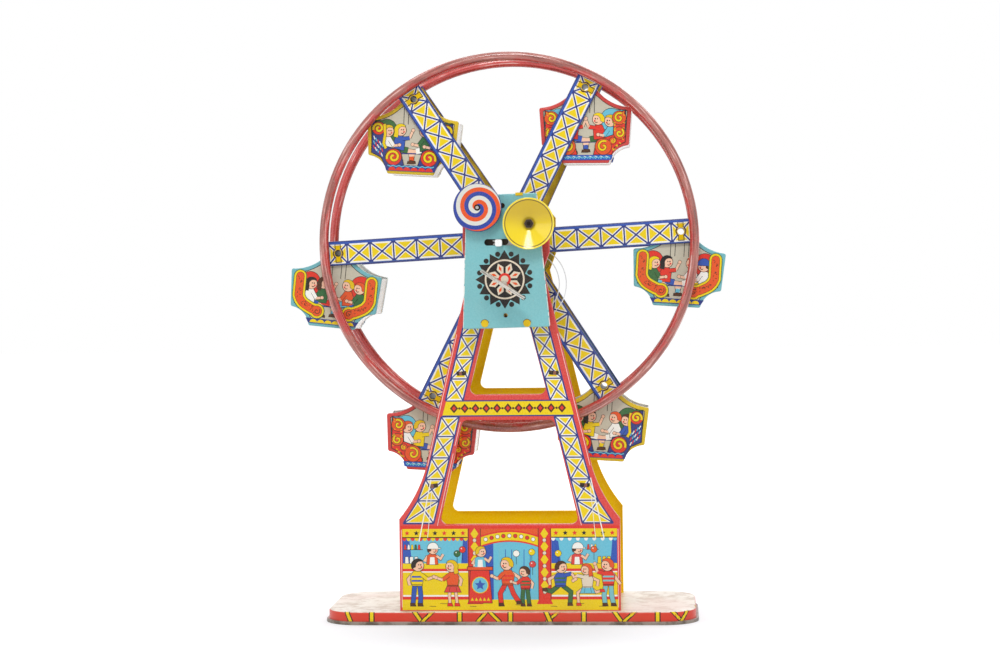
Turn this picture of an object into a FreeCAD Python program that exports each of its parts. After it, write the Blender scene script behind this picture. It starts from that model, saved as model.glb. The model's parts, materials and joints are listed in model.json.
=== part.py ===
"""A clockwork tinplate Ferris wheel toy, modelled piece by piece as a parametric document.

The toy stands on a pressed tray. Two flanged tin towers rise from the tray and carry the
wheel's axle between them. The clockwork sits on the front tower, behind a cover plate.
X runs to the right along the front, Y runs from the front to the back and Z runs up.
The origin is under the middle of the whole toy, on the surface that it stands on.
"""
import FreeCAD, Part
import math
import os

import Sketcher

Vector = FreeCAD.Vector
Rotation = FreeCAD.Rotation
Placement = FreeCAD.Placement

# ---------------------------------------------------------------- driving dimensions
DRIVING_DIMENSIONS = (
    ("sheet", 0.5, "thickness of the tinplate"),
    ("plate", 0.8, "thickness of the clockwork's brass and steel plates"),
    ("play", 0.08, "radial play of every running fit"),
    ("roll", 1.0, "outer radius of a rolled sheet edge"),
    ("wheel_plane", 19.3, "depth of the wheel's middle plane behind the origin"),
    ("axle_height", 282.6, "height of the wheel's axle above the table"),
    ("base_width", 279.0, "tray, over its rolled rim"),
    ("base_depth", 117.0, "tray, over its rolled rim"),
    ("base_height", 9.4, "top face of the tray above the table"),
    ("base_corner", 27.0, "corner radius of the rim"),
    ("rim_width", 2.0, "how far the rim stands out from the tray's wall"),
    ("rim_height", 2.4, "height of the rim"),
    ("tower_spacing", 100.0, "over the outer faces of the two towers"),
    ("tower_flange", 4.5, "depth of a tower's turned edges"),
    ("booth_half", 82.0, "half width of the ticket booth"),
    ("shoulder_height", 77.7, "height of the booth's shoulders"),
    ("shoulder_bend", 105.0, "radius of the flare above each shoulder"),
    ("flare_half", 62.1, "half width at the top of the flare"),
    ("flare_height", 114.0, "height of the top of the flare"),
    ("neck_half", 27.3, "half width of the neck, where the legs meet the head"),
    ("neck_height", 261.6, "height of the neck"),
    ("head_half", 32.1, "half width of the tower's head"),
    ("cheek_height", 274.7, "height of the head's lower corners"),
    ("head_height", 302.0, "height of the head's upper corners"),
    ("head_top", 315.5, "top of the tower"),
    ("head_top_half", 22.0, "half width of the tower's top edge"),
    ("gate_sill", 73.7, "lower edge of the lower window"),
    ("gate_top", 150.8, "upper edge of the lower window"),
    ("gate_sill_half", 51.8, "half width of the lower window at its sill"),
    ("gate_top_half", 33.9, "half width of the lower window at its top"),
    ("light_sill", 169.9, "lower edge of the upper window"),
    ("light_top", 221.0, "upper edge of the upper window"),
    ("light_sill_half", 29.2, "half width of the upper window at its sill"),
    ("light_top_half", 16.4, "half width of the upper window at its top"),
    ("window_corner", 4.5, "corner radius of the windows"),
    ("ring_radius", 142.4, "outer radius of the wheel's rings"),
    ("ring_tube", 3.5, "radius of a ring's tube"),
    ("ring_spacing", 53.0, "between the middle planes of the two rings"),
    ("ring_seam", 1.6, "open seam on the inside of a ring's tube"),
    ("spoke_width", 18.4, "width of a spoke"),
    ("spoke_depth", 2.0, "depth of a spoke's turned edges"),
    ("spoke_start", 13.0, "inner end of a spoke, from the axle"),
    ("spoke_end", 139.0, "outer end of a spoke, from the axle"),
    ("wheel_angle", 3.0, "angle of the first spoke above the horizontal"),
    ("hub_radius", 33.2, "radius of the two hub discs"),
    ("pivot_circle", 129.0, "radius of the circle of gondola pivots"),
    ("pivot_radius", 3.0, "outer radius of a pivot tube"),
    ("pivot_wall", 0.4, "wall of a pivot tube"),
    ("axle_radius", 2.5, "radius of the wheel's axle"),
    ("arbor_radius", 2.5, "radius of the winding arbor behind the cover"),
    ("key_shaft_radius", 1.9, "radius of the winding arbor where it carries the key"),
    ("boat_half", 34.6, "half width of a gondola at its upper corners"),
    ("boat_side_half", 32.6, "half width of a gondola at the foot of its sides"),
    ("boat_floor_half", 17.7, "half width of a gondola's floor"),
    ("boat_peak", 5.6, "top of a gondola's panel above its pivot"),
    ("boat_peak_half", 4.6, "half width of a gondola's peak"),
    ("boat_corner_drop", 14.8, "upper corners below the pivot"),
    ("boat_side_drop", 43.2, "foot of the sides below the pivot"),
    ("boat_floor_drop", 56.4, "floor below the pivot"),
    ("boat_eave_bend", 33.0, "radius of the hollow upper edges"),
    ("boat_bilge_bend", 15.6, "radius of the hollow lower corners"),
    ("boat_depth", 40.4, "over the two panels of a gondola"),
    ("boat_flange", 3.2, "depth of a gondola panel's turned edge"),
    ("cover_gap", 17.5, "from the front tower to the back of the cover plate"),
    ("cover_top", 317.2, "top of the cover plate, in its middle"),
    ("cover_bottom", 219.5, "bottom of the cover plate, in its middle"),
    ("cover_skew", 0.64, "rise of the cover plate's right side, and fall of its left side"),
    ("cover_top_left", 27.6, "upper left corner, from the middle"),
    ("cover_top_right", 23.9, "upper right corner, from the middle"),
    ("cover_bottom_left", 31.1, "lower left corner, from the middle"),
    ("cover_bottom_right", 33.0, "lower right corner, from the middle"),
    ("module", 0.8, "module of every gear"),
    ("great_teeth", 57, "teeth of the great wheel"),
    ("axle_pinion_teeth", 21, "teeth of the pinion on the axle"),
    ("axle_gear_teeth", 66, "teeth of the gear on the axle"),
    ("disc_pinion_teeth", 12, "teeth of the spiral disc's pinion"),
    ("disc_direction", 127.3, "direction from the axle to the spiral disc's arbor"),
    ("disc_radius", 17.6, "radius of the spiral disc"),
    ("disc_arbor_radius", 1.2, "radius of the spiral disc's arbor"),
    ("bell_radius", 19.7, "radius of the bell dish, before its lip is rolled in"),
    ("bell_x", 18.3, "bell, to the right of the axle"),
    ("bell_rise", 12.8, "bell, above the axle"),
    ("hammer_x", -1.1, "hammer's pivot, to the right of the axle"),
    ("hammer_rise", 26.3, "hammer's pivot, above the axle"),
    ("hammer_reach", 27.5, "hammer's head from its pivot"),
    ("slot_half", 14.0, "half length of the hammer's slot in the cover"),
    ("slot_rise", -0.5, "middle of the hammer's slot, above the axle"),
    ("key_width", 37.4, "width of the key's bow"),
    ("key_angle", -33.4, "slope of the key's bow at rest"),
    ("spring_width", 7.5, "width of the mainspring's steel band"),
    ("spring_band", 0.4, "thickness of the mainspring's band"),
)

# Each gondola's name, its place on the wheel and how far it hangs askew.
GONDOLAS = (
    ("gondola_1", 0, 4.0),
    ("gondola_2", 1, 0.5),
    ("gondola_3", 2, 3.5),
    ("gondola_4", 3, 6.5),
    ("gondola_5", 4, 3.0),
    ("gondola_6", 5, 3.5),
)
SPOKE_COUNT = len(GONDOLAS)
SPOKE_STEP = 360 / SPOKE_COUNT

document = FreeCAD.newDocument("FerrisWheelToy")
nodes = []


class Size:
    """A size worked out from the driving dimensions, together with the formula that gives it."""

    def __init__(self, value, formula):
        self.value = value
        self.formula = formula

    def joined(self, sign, other, value):
        return Size(value, f"({self.formula} {sign} {as_size(other).formula})")

    def __add__(self, other):
        return self.joined("+", other, self.value + as_size(other).value)

    def __sub__(self, other):
        return self.joined("-", other, self.value - as_size(other).value)

    def __mul__(self, other):
        return self.joined("*", other, self.value * as_size(other).value)

    def __truediv__(self, other):
        return self.joined("/", other, self.value / as_size(other).value)

    def __radd__(self, other):
        return as_size(other) + self

    def __rsub__(self, other):
        return as_size(other) - self

    def __rmul__(self, other):
        return as_size(other) * self

    def __neg__(self):
        return Size(-self.value, f"(0 - {self.formula})")


def as_size(number):
    """Return a plain number as a Size, and a Size as it is."""
    if isinstance(number, Size):
        return number
    return Size(float(number), f"({number})" if number < 0 else f"{number}")


def polar(radius, degrees):
    """Return the two coordinates of a point at a radius and an angle."""
    radius, degrees = as_size(radius), as_size(degrees)
    angle = math.radians(degrees.value)
    across = Size(radius.value * math.cos(angle), f"({radius.formula} * cos({degrees.formula}))")
    along = Size(radius.value * math.sin(angle), f"({radius.formula} * sin({degrees.formula}))")
    return across, along


class Drive:
    """The driving dimensions, read from the spreadsheet by their aliases."""


def fill_sheet():
    """Write the driving dimensions into a spreadsheet, and return them by name."""
    sheet = document.addObject("Spreadsheet::Sheet", "Drive")
    for row, (alias, value, note) in enumerate(DRIVING_DIMENSIONS, start=1):
        sheet.set(f"A{row}", alias)
        sheet.set(f"B{row}", str(value))
        sheet.setAlias(f"B{row}", alias)
        sheet.set(f"C{row}", note)
    document.recompute()
    for alias, _, _ in DRIVING_DIMENSIONS:
        setattr(Drive, alias, Size(float(getattr(sheet, alias)), f"Drive.{alias}"))
    return Drive


D = fill_sheet()

# ---------------------------------------------------------------- places
AXLE_Z = D.axle_height
CENTRE_DISTANCE = D.module * (D.great_teeth + D.axle_pinion_teeth) / 2
ARBOR_Z = AXLE_Z - CENTRE_DISTANCE
DISC_X, DISC_RISE = polar(CENTRE_DISTANCE, D.disc_direction)
DISC_Z = AXLE_Z + DISC_RISE
BELL_Z = AXLE_Z + D.bell_rise
HAMMER_Z = AXLE_Z + D.hammer_rise
FRONT_FACE = -D.tower_spacing / 2            # front tower's outer face, from the wheel's plane
TOWER_BACK = FRONT_FACE + D.sheet            # front tower's inner face
COVER_BACK = FRONT_FACE - D.cover_gap
COVER_FACE = COVER_BACK - D.sheet
BRIDGE_FACE = FRONT_FACE + 14.4              # front of the bridge plate behind the mainspring
SPOKE_FACE = D.ring_spacing / 2 - D.ring_tube    # distance of a spoke's face from the wheel's plane
BOAT_FACE = D.boat_depth / 2


# ---------------------------------------------------------------- helpers
def bind(thing, prop, size):
    """Set a property to a size and tie it to that size's formula."""
    thing.setExpression(prop, as_size(size).formula)


def put(thing, x=0, y=0, z=0, axis=None, degrees=0):
    """Place a sub-part. Y counts from the wheel's middle plane."""
    x, y, z = as_size(x), as_size(y), as_size(z)
    thing.Placement = Placement(
        Vector(x.value, y.value + D.wheel_plane.value, z.value),
        Rotation(axis or Vector(0, 1, 0), as_size(degrees).value))
    if thing.TypeId == "Part::Feature":
        return
    bind(thing, "Placement.Base.x", x)
    bind(thing, "Placement.Base.y", y + D.wheel_plane)
    bind(thing, "Placement.Base.z", z)
    if isinstance(degrees, Size):
        bind(thing, "Placement.Rotation.Angle", degrees)


def node(thing, label):
    """Give a sub-part its name and note it for export."""
    thing.Label = label
    nodes.append(thing)
    return thing


def body_named(label):
    body = document.addObject("PartDesign::Body", f"{label}_body")
    body.AllowCompound = True
    return node(body, label)


def sketch_in(body, plane, name):
    """Add a sketch on one of a body's own origin planes."""
    sketch = body.newObject("Sketcher::SketchObject", name)
    role = f"{plane}_Plane"
    origin_plane = [f for f in body.Origin.OriginFeatures if f.Role == role][0]
    sketch.AttachmentSupport = [(origin_plane, "")]
    sketch.MapMode = "FlatFace"
    return sketch


def hold(sketch, kind, *where, size):
    """Add one dimension to a sketch and tie it to the sheet."""
    size = as_size(size)
    index = sketch.addConstraint(Sketcher.Constraint(kind, *where, size.value))
    if "Drive" in size.formula:
        sketch.setExpression(f"Constraints[{index}]", size.formula)


def arc_between(start, end, bend):
    """Return the arc from start to end; a positive bend has its centre to the left."""
    chord = end - start
    middle = (start + end) / 2
    left = Vector(-chord.y, chord.x, 0)
    left.normalize()
    rise = math.sqrt(bend * bend - chord.Length ** 2 / 4)
    centre = middle + left * math.copysign(rise, bend)
    first, last = (start, end) if bend > 0 else (end, start)
    first_angle = math.atan2(first.y - centre.y, first.x - centre.x)
    last_angle = math.atan2(last.y - centre.y, last.x - centre.x)
    circle = Part.Circle(centre, Vector(0, 0, 1), abs(bend))
    return Part.ArcOfCircle(circle, first_angle, last_angle)


def draw_loop(sketch, corners):
    """Draw a closed outline. A corner is (x, y) or (x, y, bend of the edge that leaves it)."""
    points = [Vector(as_size(c[0]).value, as_size(c[1]).value, 0) for c in corners]
    bends = [as_size(c[2]) if len(c) > 2 else None for c in corners]
    ends = []
    for index, start in enumerate(points):
        end = points[(index + 1) % len(points)]
        bend = bends[index]
        if bend is None or bend.value == 0:
            edge = sketch.addGeometry(Part.LineSegment(start, end), False)
            ends.append((edge, 1, 2))
            continue
        edge = sketch.addGeometry(arc_between(start, end, bend.value), False)
        ends.append((edge, 1, 2) if bend.value > 0 else (edge, 2, 1))
    for index, (edge, first, _) in enumerate(ends):
        before, _, last = ends[index - 1]
        sketch.addConstraint(Sketcher.Constraint("Coincident", before, last, edge, first))
        hold(sketch, "DistanceX", edge, first, size=corners[index][0])
        hold(sketch, "DistanceY", edge, first, size=corners[index][1])
        bend = bends[index]
        if bend is not None and bend.value != 0:
            hold(sketch, "Radius", edge, size=bend if bend.value > 0 else -bend)


def draw_circle(sketch, x, y, radius):
    """Draw a circle at a place, with its centre and radius held."""
    x, y, radius = as_size(x), as_size(y), as_size(radius)
    circle = Part.Circle(Vector(x.value, y.value, 0), Vector(0, 0, 1), radius.value)
    edge = sketch.addGeometry(circle, False)
    hold(sketch, "DistanceX", edge, 3, size=x)
    hold(sketch, "DistanceY", edge, 3, size=y)
    hold(sketch, "Radius", edge, size=radius)


def mirrored(half, closing=None):
    """Complete the right half of an outline with its mirror image."""
    corners = [tuple(corner) for corner in half]
    corners[-1] = corners[-1][:2]
    whole = corners[:]
    for index in range(len(half) - 1, -1, -1):
        x, y = half[index][:2]
        bend = half[index - 1][2] if index and len(half[index - 1]) > 2 else None
        if index == 0:
            bend = closing
        whole.append((-as_size(x), y) if bend is None else (-as_size(x), y, bend))
    return whole


def rectangle(x_low, y_low, x_high, y_high):
    return [(x_low, y_low), (x_high, y_low), (x_high, y_high), (x_low, y_high)]


def pad(body, sketch, length, towards_back=True):
    """Pad a sketch in a body, from its plane to the back or to the front."""
    feature = body.newObject("PartDesign::Pad", f"{sketch.Name}_pad")
    feature.Profile = sketch
    bind(feature, "Length", length)
    feature.Reversed = towards_back
    sketch.Visibility = False
    return feature


def pocket(body, sketch, length, towards_back=True):
    """Cut a sketch out of a body, and check that the cut takes something away."""
    document.recompute()
    before = body.Shape.Volume
    feature = body.newObject("PartDesign::Pocket", f"{sketch.Name}_pocket")
    feature.Profile = sketch
    bind(feature, "Length", length)
    feature.Reversed = not towards_back
    document.recompute()
    if body.Shape.Volume > before - 1e-6:
        raise RuntimeError(f"{feature.Name} cuts nothing")
    return feature


def edges_that(shape, test):
    """Name the edges of a shape that pass a test."""
    return [f"Edge{i}" for i, edge in enumerate(shape.Edges, start=1) if test(edge)]


def round_edges(body, feature, radius, test):
    """Round those edges of a feature that pass a test."""
    document.recompute()
    names = edges_that(feature.Shape, test)
    rounded = body.newObject("PartDesign::Fillet", f"{feature.Name}_round")
    rounded.Base = (feature, names)
    bind(rounded, "Radius", radius)
    document.recompute()
    return rounded


def hollow(body, feature, wall, facing):
    """Open a block on the face that looks along facing, and leave walls of sheet."""
    document.recompute()
    flat = [f"Face{i}" for i, face in enumerate(feature.Shape.Faces, start=1)
            if isinstance(face.Surface, Part.Plane) and face.normalAt(0, 0).dot(facing) > 0.999]
    shell = body.newObject("PartDesign::Thickness", f"{feature.Name}_shell")
    shell.Base = (feature, flat)
    bind(shell, "Value", wall)
    shell.Reversed = True
    shell.Mode = 0
    shell.Join = 1
    document.recompute()
    if shell.Shape.Volume > 0.6 * feature.Shape.Volume:
        raise RuntimeError(f"{shell.Name} is not hollow")
    return shell


def lies_at(coordinate, value):
    """Return a test for the edges whose every point has one coordinate at a value."""
    def test(edge):
        points = edge.discretize(3)
        return all(abs(getattr(point, coordinate) - value) < 1e-4 for point in points)
    return test


def runs_along_y(edge):
    points = edge.discretize(3)
    return all(abs(p.x - points[0].x) + abs(p.z - points[0].z) < 1e-4 for p in points)


def turned(label, profile, x=0, y=0, z=0):
    """Make a turned piece from a profile of (radius, depth) corners, about an axis along Y."""
    body = body_named(label)
    sketch = sketch_in(body, "XY", f"{label}_profile")
    draw_loop(sketch, profile)
    revolution = body.newObject("PartDesign::Revolution", f"{label}_turning")
    revolution.Profile = sketch
    revolution.ReferenceAxis = (sketch, ["V_Axis"])
    revolution.Angle = 360
    put(body, x, y, z)
    return body


def flat(label, loops, thickness, x=0, y=0, z=0):
    """Make a flat piece that faces the front, from outlines in (x, z) and a thickness."""
    body = body_named(label)
    sketch = sketch_in(body, "XZ", f"{label}_outline")
    for loop in loops:
        if len(loop) == 3 and not isinstance(loop[0], tuple):
            draw_circle(sketch, *loop)
        else:
            draw_loop(sketch, loop)
    pad(body, sketch, thickness)
    put(body, x, y, z)
    return body


def group(label, shapes):
    """Make one node of several separate solids."""
    feature = document.addObject("Part::Feature", f"{label}_group")
    feature.Shape = Part.makeCompound(shapes)
    put(feature)
    return node(feature, label)


def cylinder_y(radius, length, x, y, z):
    """Return a plain cylinder along Y, from y to the back."""
    return Part.makeCylinder(
        as_size(radius).value, as_size(length).value,
        Vector(as_size(x).value, as_size(y).value, as_size(z).value), Vector(0, 1, 0))


def box_at(x_low, y_low, z_low, x_size, y_size, z_size):
    """Return a plain box from its lowest corner and its sizes."""
    sizes = [as_size(s).value for s in (x_size, y_size, z_size)]
    return Part.makeBox(*sizes, Vector(*[as_size(c).value for c in (x_low, y_low, z_low)]))


# ---------------------------------------------------------------- the stand
def slot_places():
    """Return where the towers' tabs pass through the tray: x, and y from the wheel's plane."""
    across = D.booth_half - 14
    behind = -FRONT_FACE - D.sheet
    return [(x, y) for y in (FRONT_FACE, behind) for x in (-across, as_size(0), across)]


TAB_WIDTH = 8.0
TAB_FOOT = 3.5


def make_base():
    """The pressed tray: a pan turned upside down, with a rolled rim that rests on the table."""
    body = body_named("base_tray")
    wall_half = D.base_width / 2 - D.rim_width
    wall_deep = D.base_depth / 2 - D.rim_width
    sketch = sketch_in(body, "XY", "tray_outline")
    draw_loop(sketch, rounded_rectangle(wall_half, wall_deep, D.base_corner - D.rim_width))
    block = pad(body, sketch, D.base_height, towards_back=False)
    edge = round_edges(body, block, D.roll * 1.5, lies_at("z", D.base_height.value))
    hollow(body, edge, D.sheet, Vector(0, 0, -1))

    rim = sketch_in(body, "XY", "tray_rim")
    draw_loop(rim, rounded_rectangle(D.base_width / 2, D.base_depth / 2, D.base_corner))
    inset = D.rim_width + D.sheet
    draw_loop(rim, rounded_rectangle(
        D.base_width / 2 - inset, D.base_depth / 2 - inset, D.base_corner - inset))
    rim_pad = pad(body, rim, D.rim_height, towards_back=False)
    document.recompute()
    rim_edge = D.base_width.value / 2 - D.rim_width.value / 2

    def on_outer_rim(edge_of_rim):
        points = edge_of_rim.discretize(5)
        flat_edge = lies_at("z", D.rim_height.value)(edge_of_rim)
        reach = max(max(abs(p.x) for p in points) - rim_edge,
                    max(abs(p.y) for p in points) - D.base_depth.value / 2 + D.rim_width.value / 2)
        return flat_edge and reach > 0

    round_edges(body, rim_pad, D.rim_width * 0.45, on_outer_rim)

    slots = sketch_in(body, "XY", "tab_slots")
    margin = D.play * 2
    for x, y in slot_places():
        draw_loop(slots, rectangle(
            x - TAB_WIDTH / 2 - margin, y - margin,
            x + TAB_WIDTH / 2 + margin, y + D.sheet + margin))
    bind(slots, "AttachmentOffset.Base.z", D.base_height + D.roll)
    pocket(body, slots, D.roll * 4)
    put(body)


def rounded_rectangle(half_width, half_depth, corner):
    """Return the outline of a rectangle with round corners, centred on the origin."""
    inner_x, inner_y = half_width - corner, half_depth - corner
    return [
        (inner_x, -half_depth, corner), (half_width, -inner_y),
        (half_width, inner_y, corner), (inner_x, half_depth),
        (-inner_x, half_depth, corner), (-half_width, inner_y),
        (-half_width, -inner_y, corner), (-inner_x, -half_depth),
    ]


def tower_outline():
    """Return the towers' silhouette: booth, flared legs, neck and head."""
    return mirrored([
        (D.head_top_half, D.head_top),
        (D.head_half, D.head_height),
        (D.head_half, D.cheek_height),
        (D.neck_half, D.neck_height),
        (D.flare_half, D.flare_height, D.shoulder_bend),
        (D.booth_half, D.shoulder_height),
        (D.booth_half, D.base_height),
    ])


def window(sill, top, sill_half, top_half):
    """Return a window that narrows upwards."""
    return [(-sill_half, sill), (sill_half, sill), (top_half, top), (-top_half, top)]


def make_tower(label, is_front):
    """One tower: a single sheet with turned edges round its outline and its two windows."""
    body = body_named(label)
    sketch = sketch_in(body, "XZ", f"{label}_outline")
    draw_loop(sketch, tower_outline())
    draw_loop(sketch, window(D.gate_sill, D.gate_top, D.gate_sill_half, D.gate_top_half))
    draw_loop(sketch, window(D.light_sill, D.light_top, D.light_sill_half, D.light_top_half))
    block = pad(body, sketch, D.tower_flange, towards_back=is_front)
    inside = D.booth_half.value - 20

    def window_corner(edge):
        start = edge.Vertexes[0].Point
        in_window = D.gate_sill.value - 1 < start.z < D.light_top.value + 1
        on_outline = abs(start.x) > inside or any(
            abs(start.z - level.value) < 0.1 for level in (D.flare_height, D.shoulder_height))
        return runs_along_y(edge) and in_window and not on_outline

    corners = round_edges(body, block, D.window_corner, window_corner)
    shell = hollow(body, corners, D.sheet, Vector(0, 1 if is_front else -1, 0))
    round_edges(
        body, shell, D.roll, lambda edge: lies_at("y", 0)(edge)
        and max(p.z for p in edge.discretize(3)) > D.base_height.value + 0.1)

    bearings = sketch_in(body, "XZ", f"{label}_bearing_holes")
    draw_circle(bearings, 0, AXLE_Z, D.axle_radius + 1.5)
    if is_front:
        draw_circle(bearings, 0, ARBOR_Z, D.arbor_radius + D.play)
        draw_circle(bearings, DISC_X, DISC_Z, D.disc_arbor_radius + D.play)
    pocket(body, bearings, D.sheet, towards_back=is_front)

    tabs = sketch_in(body, "XZ", f"{label}_tabs")
    across = D.booth_half - 14
    for x in (-across, as_size(0), across):
        draw_loop(tabs, rectangle(x - TAB_WIDTH / 2, D.base_height - D.sheet * 2,
                                  x + TAB_WIDTH / 2, D.base_height))
    pad(body, tabs, D.sheet, towards_back=is_front)
    feet = sketch_in(body, "XZ", f"{label}_tab_feet")
    for x in (-across, as_size(0), across):
        draw_loop(feet, rectangle(x - TAB_WIDTH / 2, D.base_height - D.sheet * 2,
                                  x + TAB_WIDTH / 2, D.base_height - D.sheet))
    pad(body, feet, D.sheet + TAB_FOOT, towards_back=is_front)
    put(body, y=FRONT_FACE if is_front else -FRONT_FACE)


STIFFENER_WIDTH = 9.0
STIFFENER_FOOT = 102.5
STIFFENER_HEAD = 186.0


def make_stiffeners():
    """Four strips, one behind each leg, hooked through the leg at both ends by a tab."""
    def leg_middle(height):
        return 83.6 - 0.2644 * height

    length = math.hypot(leg_middle(STIFFENER_FOOT) - leg_middle(STIFFENER_HEAD),
                        STIFFENER_HEAD - STIFFENER_FOOT)
    lean = math.degrees(math.atan2(
        leg_middle(STIFFENER_FOOT) - leg_middle(STIFFENER_HEAD), STIFFENER_HEAD - STIFFENER_FOOT))
    strips = []
    for end in (-1, 1):
        for side in (-1, 1):
            strip = box_at(-STIFFENER_WIDTH / 2, 0, 0, STIFFENER_WIDTH, D.sheet, length)
            rib = box_at(-0.8, D.sheet, 4, 1.6, 1.2, length - 8)
            shape = strip.fuse(rib)
            shape.rotate(Vector(), Vector(0, 1, 0), -lean * side)
            depth = TOWER_BACK.value
            if end > 0:
                shape.rotate(Vector(), Vector(0, 0, 1), 180)
                shape.rotate(Vector(), Vector(0, 1, 0), -2 * lean * side)
                depth = -depth
            shape.translate(Vector(side * leg_middle(STIFFENER_FOOT), depth, STIFFENER_FOOT))
            strips.append(shape)
    group("leg_stiffeners", strips)


def make_bushes():
    """The brass bushes in the two towers, in which the axle turns."""
    collar = D.axle_radius + 3.2
    neck = D.axle_radius + 1.5
    bore = D.axle_radius + D.play
    for label, y, side in (("front_bush", FRONT_FACE, 1), ("rear_bush", -FRONT_FACE, -1)):
        turned(label, [
            (bore, -1.2 * side), (collar, -1.2 * side), (collar, 0), (neck, 0),
            (neck, 1.6 * side), (bore, 1.6 * side),
        ][::side], y=y, z=AXLE_Z)


# ---------------------------------------------------------------- the clockwork's fixed pieces
POST_WIDTH = 5.4
POSTS_X = (-14.9, 16.0)
POST_Z = 222.8
TOP_EAR_X = 11.2


def make_cover():
    """The cover plate, with its bearing holes, the hammer's slot and the slots of two ears."""
    body = body_named("motor_cover")
    sketch = sketch_in(body, "XZ", "cover_outline")
    draw_loop(sketch, [
        (D.cover_top_right, D.cover_top + D.cover_skew),
        (D.cover_bottom_right, D.cover_bottom + D.cover_skew),
        (-D.cover_bottom_left, D.cover_bottom - D.cover_skew),
        (-D.cover_top_left, D.cover_top - D.cover_skew),
    ])
    block = pad(body, sketch, D.sheet * 3)
    corners = round_edges(body, block, 1.5, runs_along_y)
    rolled = round_edges(body, corners, D.roll * 0.8, lies_at("y", 0))
    hollow(body, rolled, D.sheet, Vector(0, 1, 0))

    holes = sketch_in(body, "XZ", "cover_holes")
    draw_circle(holes, 0, ARBOR_Z, D.key_shaft_radius + D.play)
    draw_circle(holes, DISC_X, DISC_Z, D.disc_arbor_radius + D.play)
    draw_circle(holes, 0.4, D.cover_bottom + 9.2, 1.6)
    draw_circle(holes, D.hammer_x, HAMMER_Z, 1.1)
    draw_circle(holes, D.bell_x, BELL_Z, 1.5)
    for x in POSTS_X:
        draw_loop(holes, rectangle(x - 2.1, POST_Z - 0.5, x + 2.1, POST_Z + 0.5))
    draw_loop(holes, hammer_slot())
    pocket(body, holes, D.sheet * 4)
    put(body, y=COVER_FACE)


SLOT_RADIUS = 2.35


def hammer_slot():
    """Return the straight slot, round at both ends, in which the hammer's neck swings."""
    run = D.slot_half - SLOT_RADIUS
    low, high = AXLE_Z + D.slot_rise - SLOT_RADIUS, AXLE_Z + D.slot_rise + SLOT_RADIUS
    end_bend = SLOT_RADIUS * 1.02
    return [
        (D.hammer_x - run, low), (D.hammer_x + run, low, end_bend),
        (D.hammer_x + run, high), (D.hammer_x - run, high, end_bend),
    ]


def make_cover_posts():
    """Three tin ears from the tower, folded down on the cover: two through it, one over its top."""
    ears = []
    reach = (FRONT_FACE - COVER_FACE).value
    sheet = D.sheet.value
    for x in POSTS_X:
        strip = box_at(x - 2.0, COVER_FACE, POST_Z - sheet / 2, 4.0, reach, sheet)
        ear = cylinder_y(POST_WIDTH / 2, sheet, x, COVER_FACE - sheet, POST_Z)
        shoe = box_at(x - POST_WIDTH / 2, FRONT_FACE - sheet, POST_Z - 2.2, POST_WIDTH, sheet, 4.4)
        ears.append(strip.fuse([ear, shoe]).removeSplitter())
    left = TOP_EAR_X - POST_WIDTH / 2
    top = D.cover_top + D.cover_skew * 0.7 + 0.05
    strip = box_at(left, COVER_FACE - sheet, top, POST_WIDTH, reach + sheet, sheet)
    fold = box_at(left, COVER_FACE - sheet, top - 1.7, POST_WIDTH, sheet, 1.7)
    shoe = box_at(left, FRONT_FACE - sheet, top - 5.0, POST_WIDTH, sheet, 5.0)
    ears.append(strip.fuse([fold, shoe]).removeSplitter())
    group("cover_posts", ears)


PILLAR_RADIUS = 2.0
PILLARS = ((-20.0, 300.0), (20.0, 300.0), (-17.3, ARBOR_Z))


def make_bridge():
    """The bridge plate behind the mainspring, and the three pillars that hold it."""
    outline = [(-24, 240), (-12, 236), (10, 240), (10, 262), (24, 292), (24, 306), (-24, 306)]
    holes = [(0, AXLE_Z, D.axle_radius + D.play), (0, ARBOR_Z, D.arbor_radius + D.play)]
    flat("bridge_plate", [outline] + holes, D.plate, y=BRIDGE_FACE)
    length = BRIDGE_FACE - TOWER_BACK
    group("bridge_pillars", [
        cylinder_y(PILLAR_RADIUS, length, x, TOWER_BACK, z) for x, z in PILLARS])


def spiral_band(half_turns, thickness, width):
    """Return a flat spring from half turns: each is (centre x, radius, 1 above or -1 below)."""
    inner, outer = [], []
    for centre, radius, side in half_turns:
        for offset, edges in ((-thickness / 2, inner), (thickness / 2, outer)):
            reach = radius + offset
            edges.append(Part.Arc(
                Vector(centre - side * reach, 0, 0), Vector(centre, 0, side * reach),
                Vector(centre + side * reach, 0, 0)).toShape())
    caps = [Part.makeLine(inner[0].firstVertex().Point, outer[0].firstVertex().Point),
            Part.makeLine(inner[-1].lastVertex().Point, outer[-1].lastVertex().Point)]
    wire = Part.Wire(Part.__sortEdges__(inner + outer + caps))
    return Part.Face(wire).extrude(Vector(0, width, 0))


# How much each loose half turn of the mainspring grows: at its left end, then at its right.
LOOSE_TURNS = ((9.5, 0.6), (5.0, 0.6), (2.6, 1.5))


def make_mainspring():
    """The mainspring, run down: tight turns round the arbor and loose ones that bulge aside."""
    band, width = D.spring_band.value, D.spring_width.value
    step = (band + 0.45) / 2
    radius, centre = D.arbor_radius.value + 0.15 + band / 2, 0.0
    half_turns = []
    for left, right in ((step, step),) * 8 + LOOSE_TURNS:
        radius, centre = radius + left, centre + left
        half_turns.append((centre, radius, 1))
        radius, centre = radius + right, centre - right
        half_turns.append((centre, radius, -1))
    coil = spiral_band(half_turns, band, width)
    end = centre - radius - band / 2 - PILLAR_RADIUS - 0.05
    eye = cylinder_y(PILLAR_RADIUS + 0.05 + band, width, end, 0, 0).cut(
        cylinder_y(PILLAR_RADIUS + 0.05, width, end, 0, 0))
    shape = coil.fuse(eye).removeSplitter()
    shape.translate(Vector(0, TOWER_BACK.value + 4.4, ARBOR_Z.value))
    group("mainspring", [shape])


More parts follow.
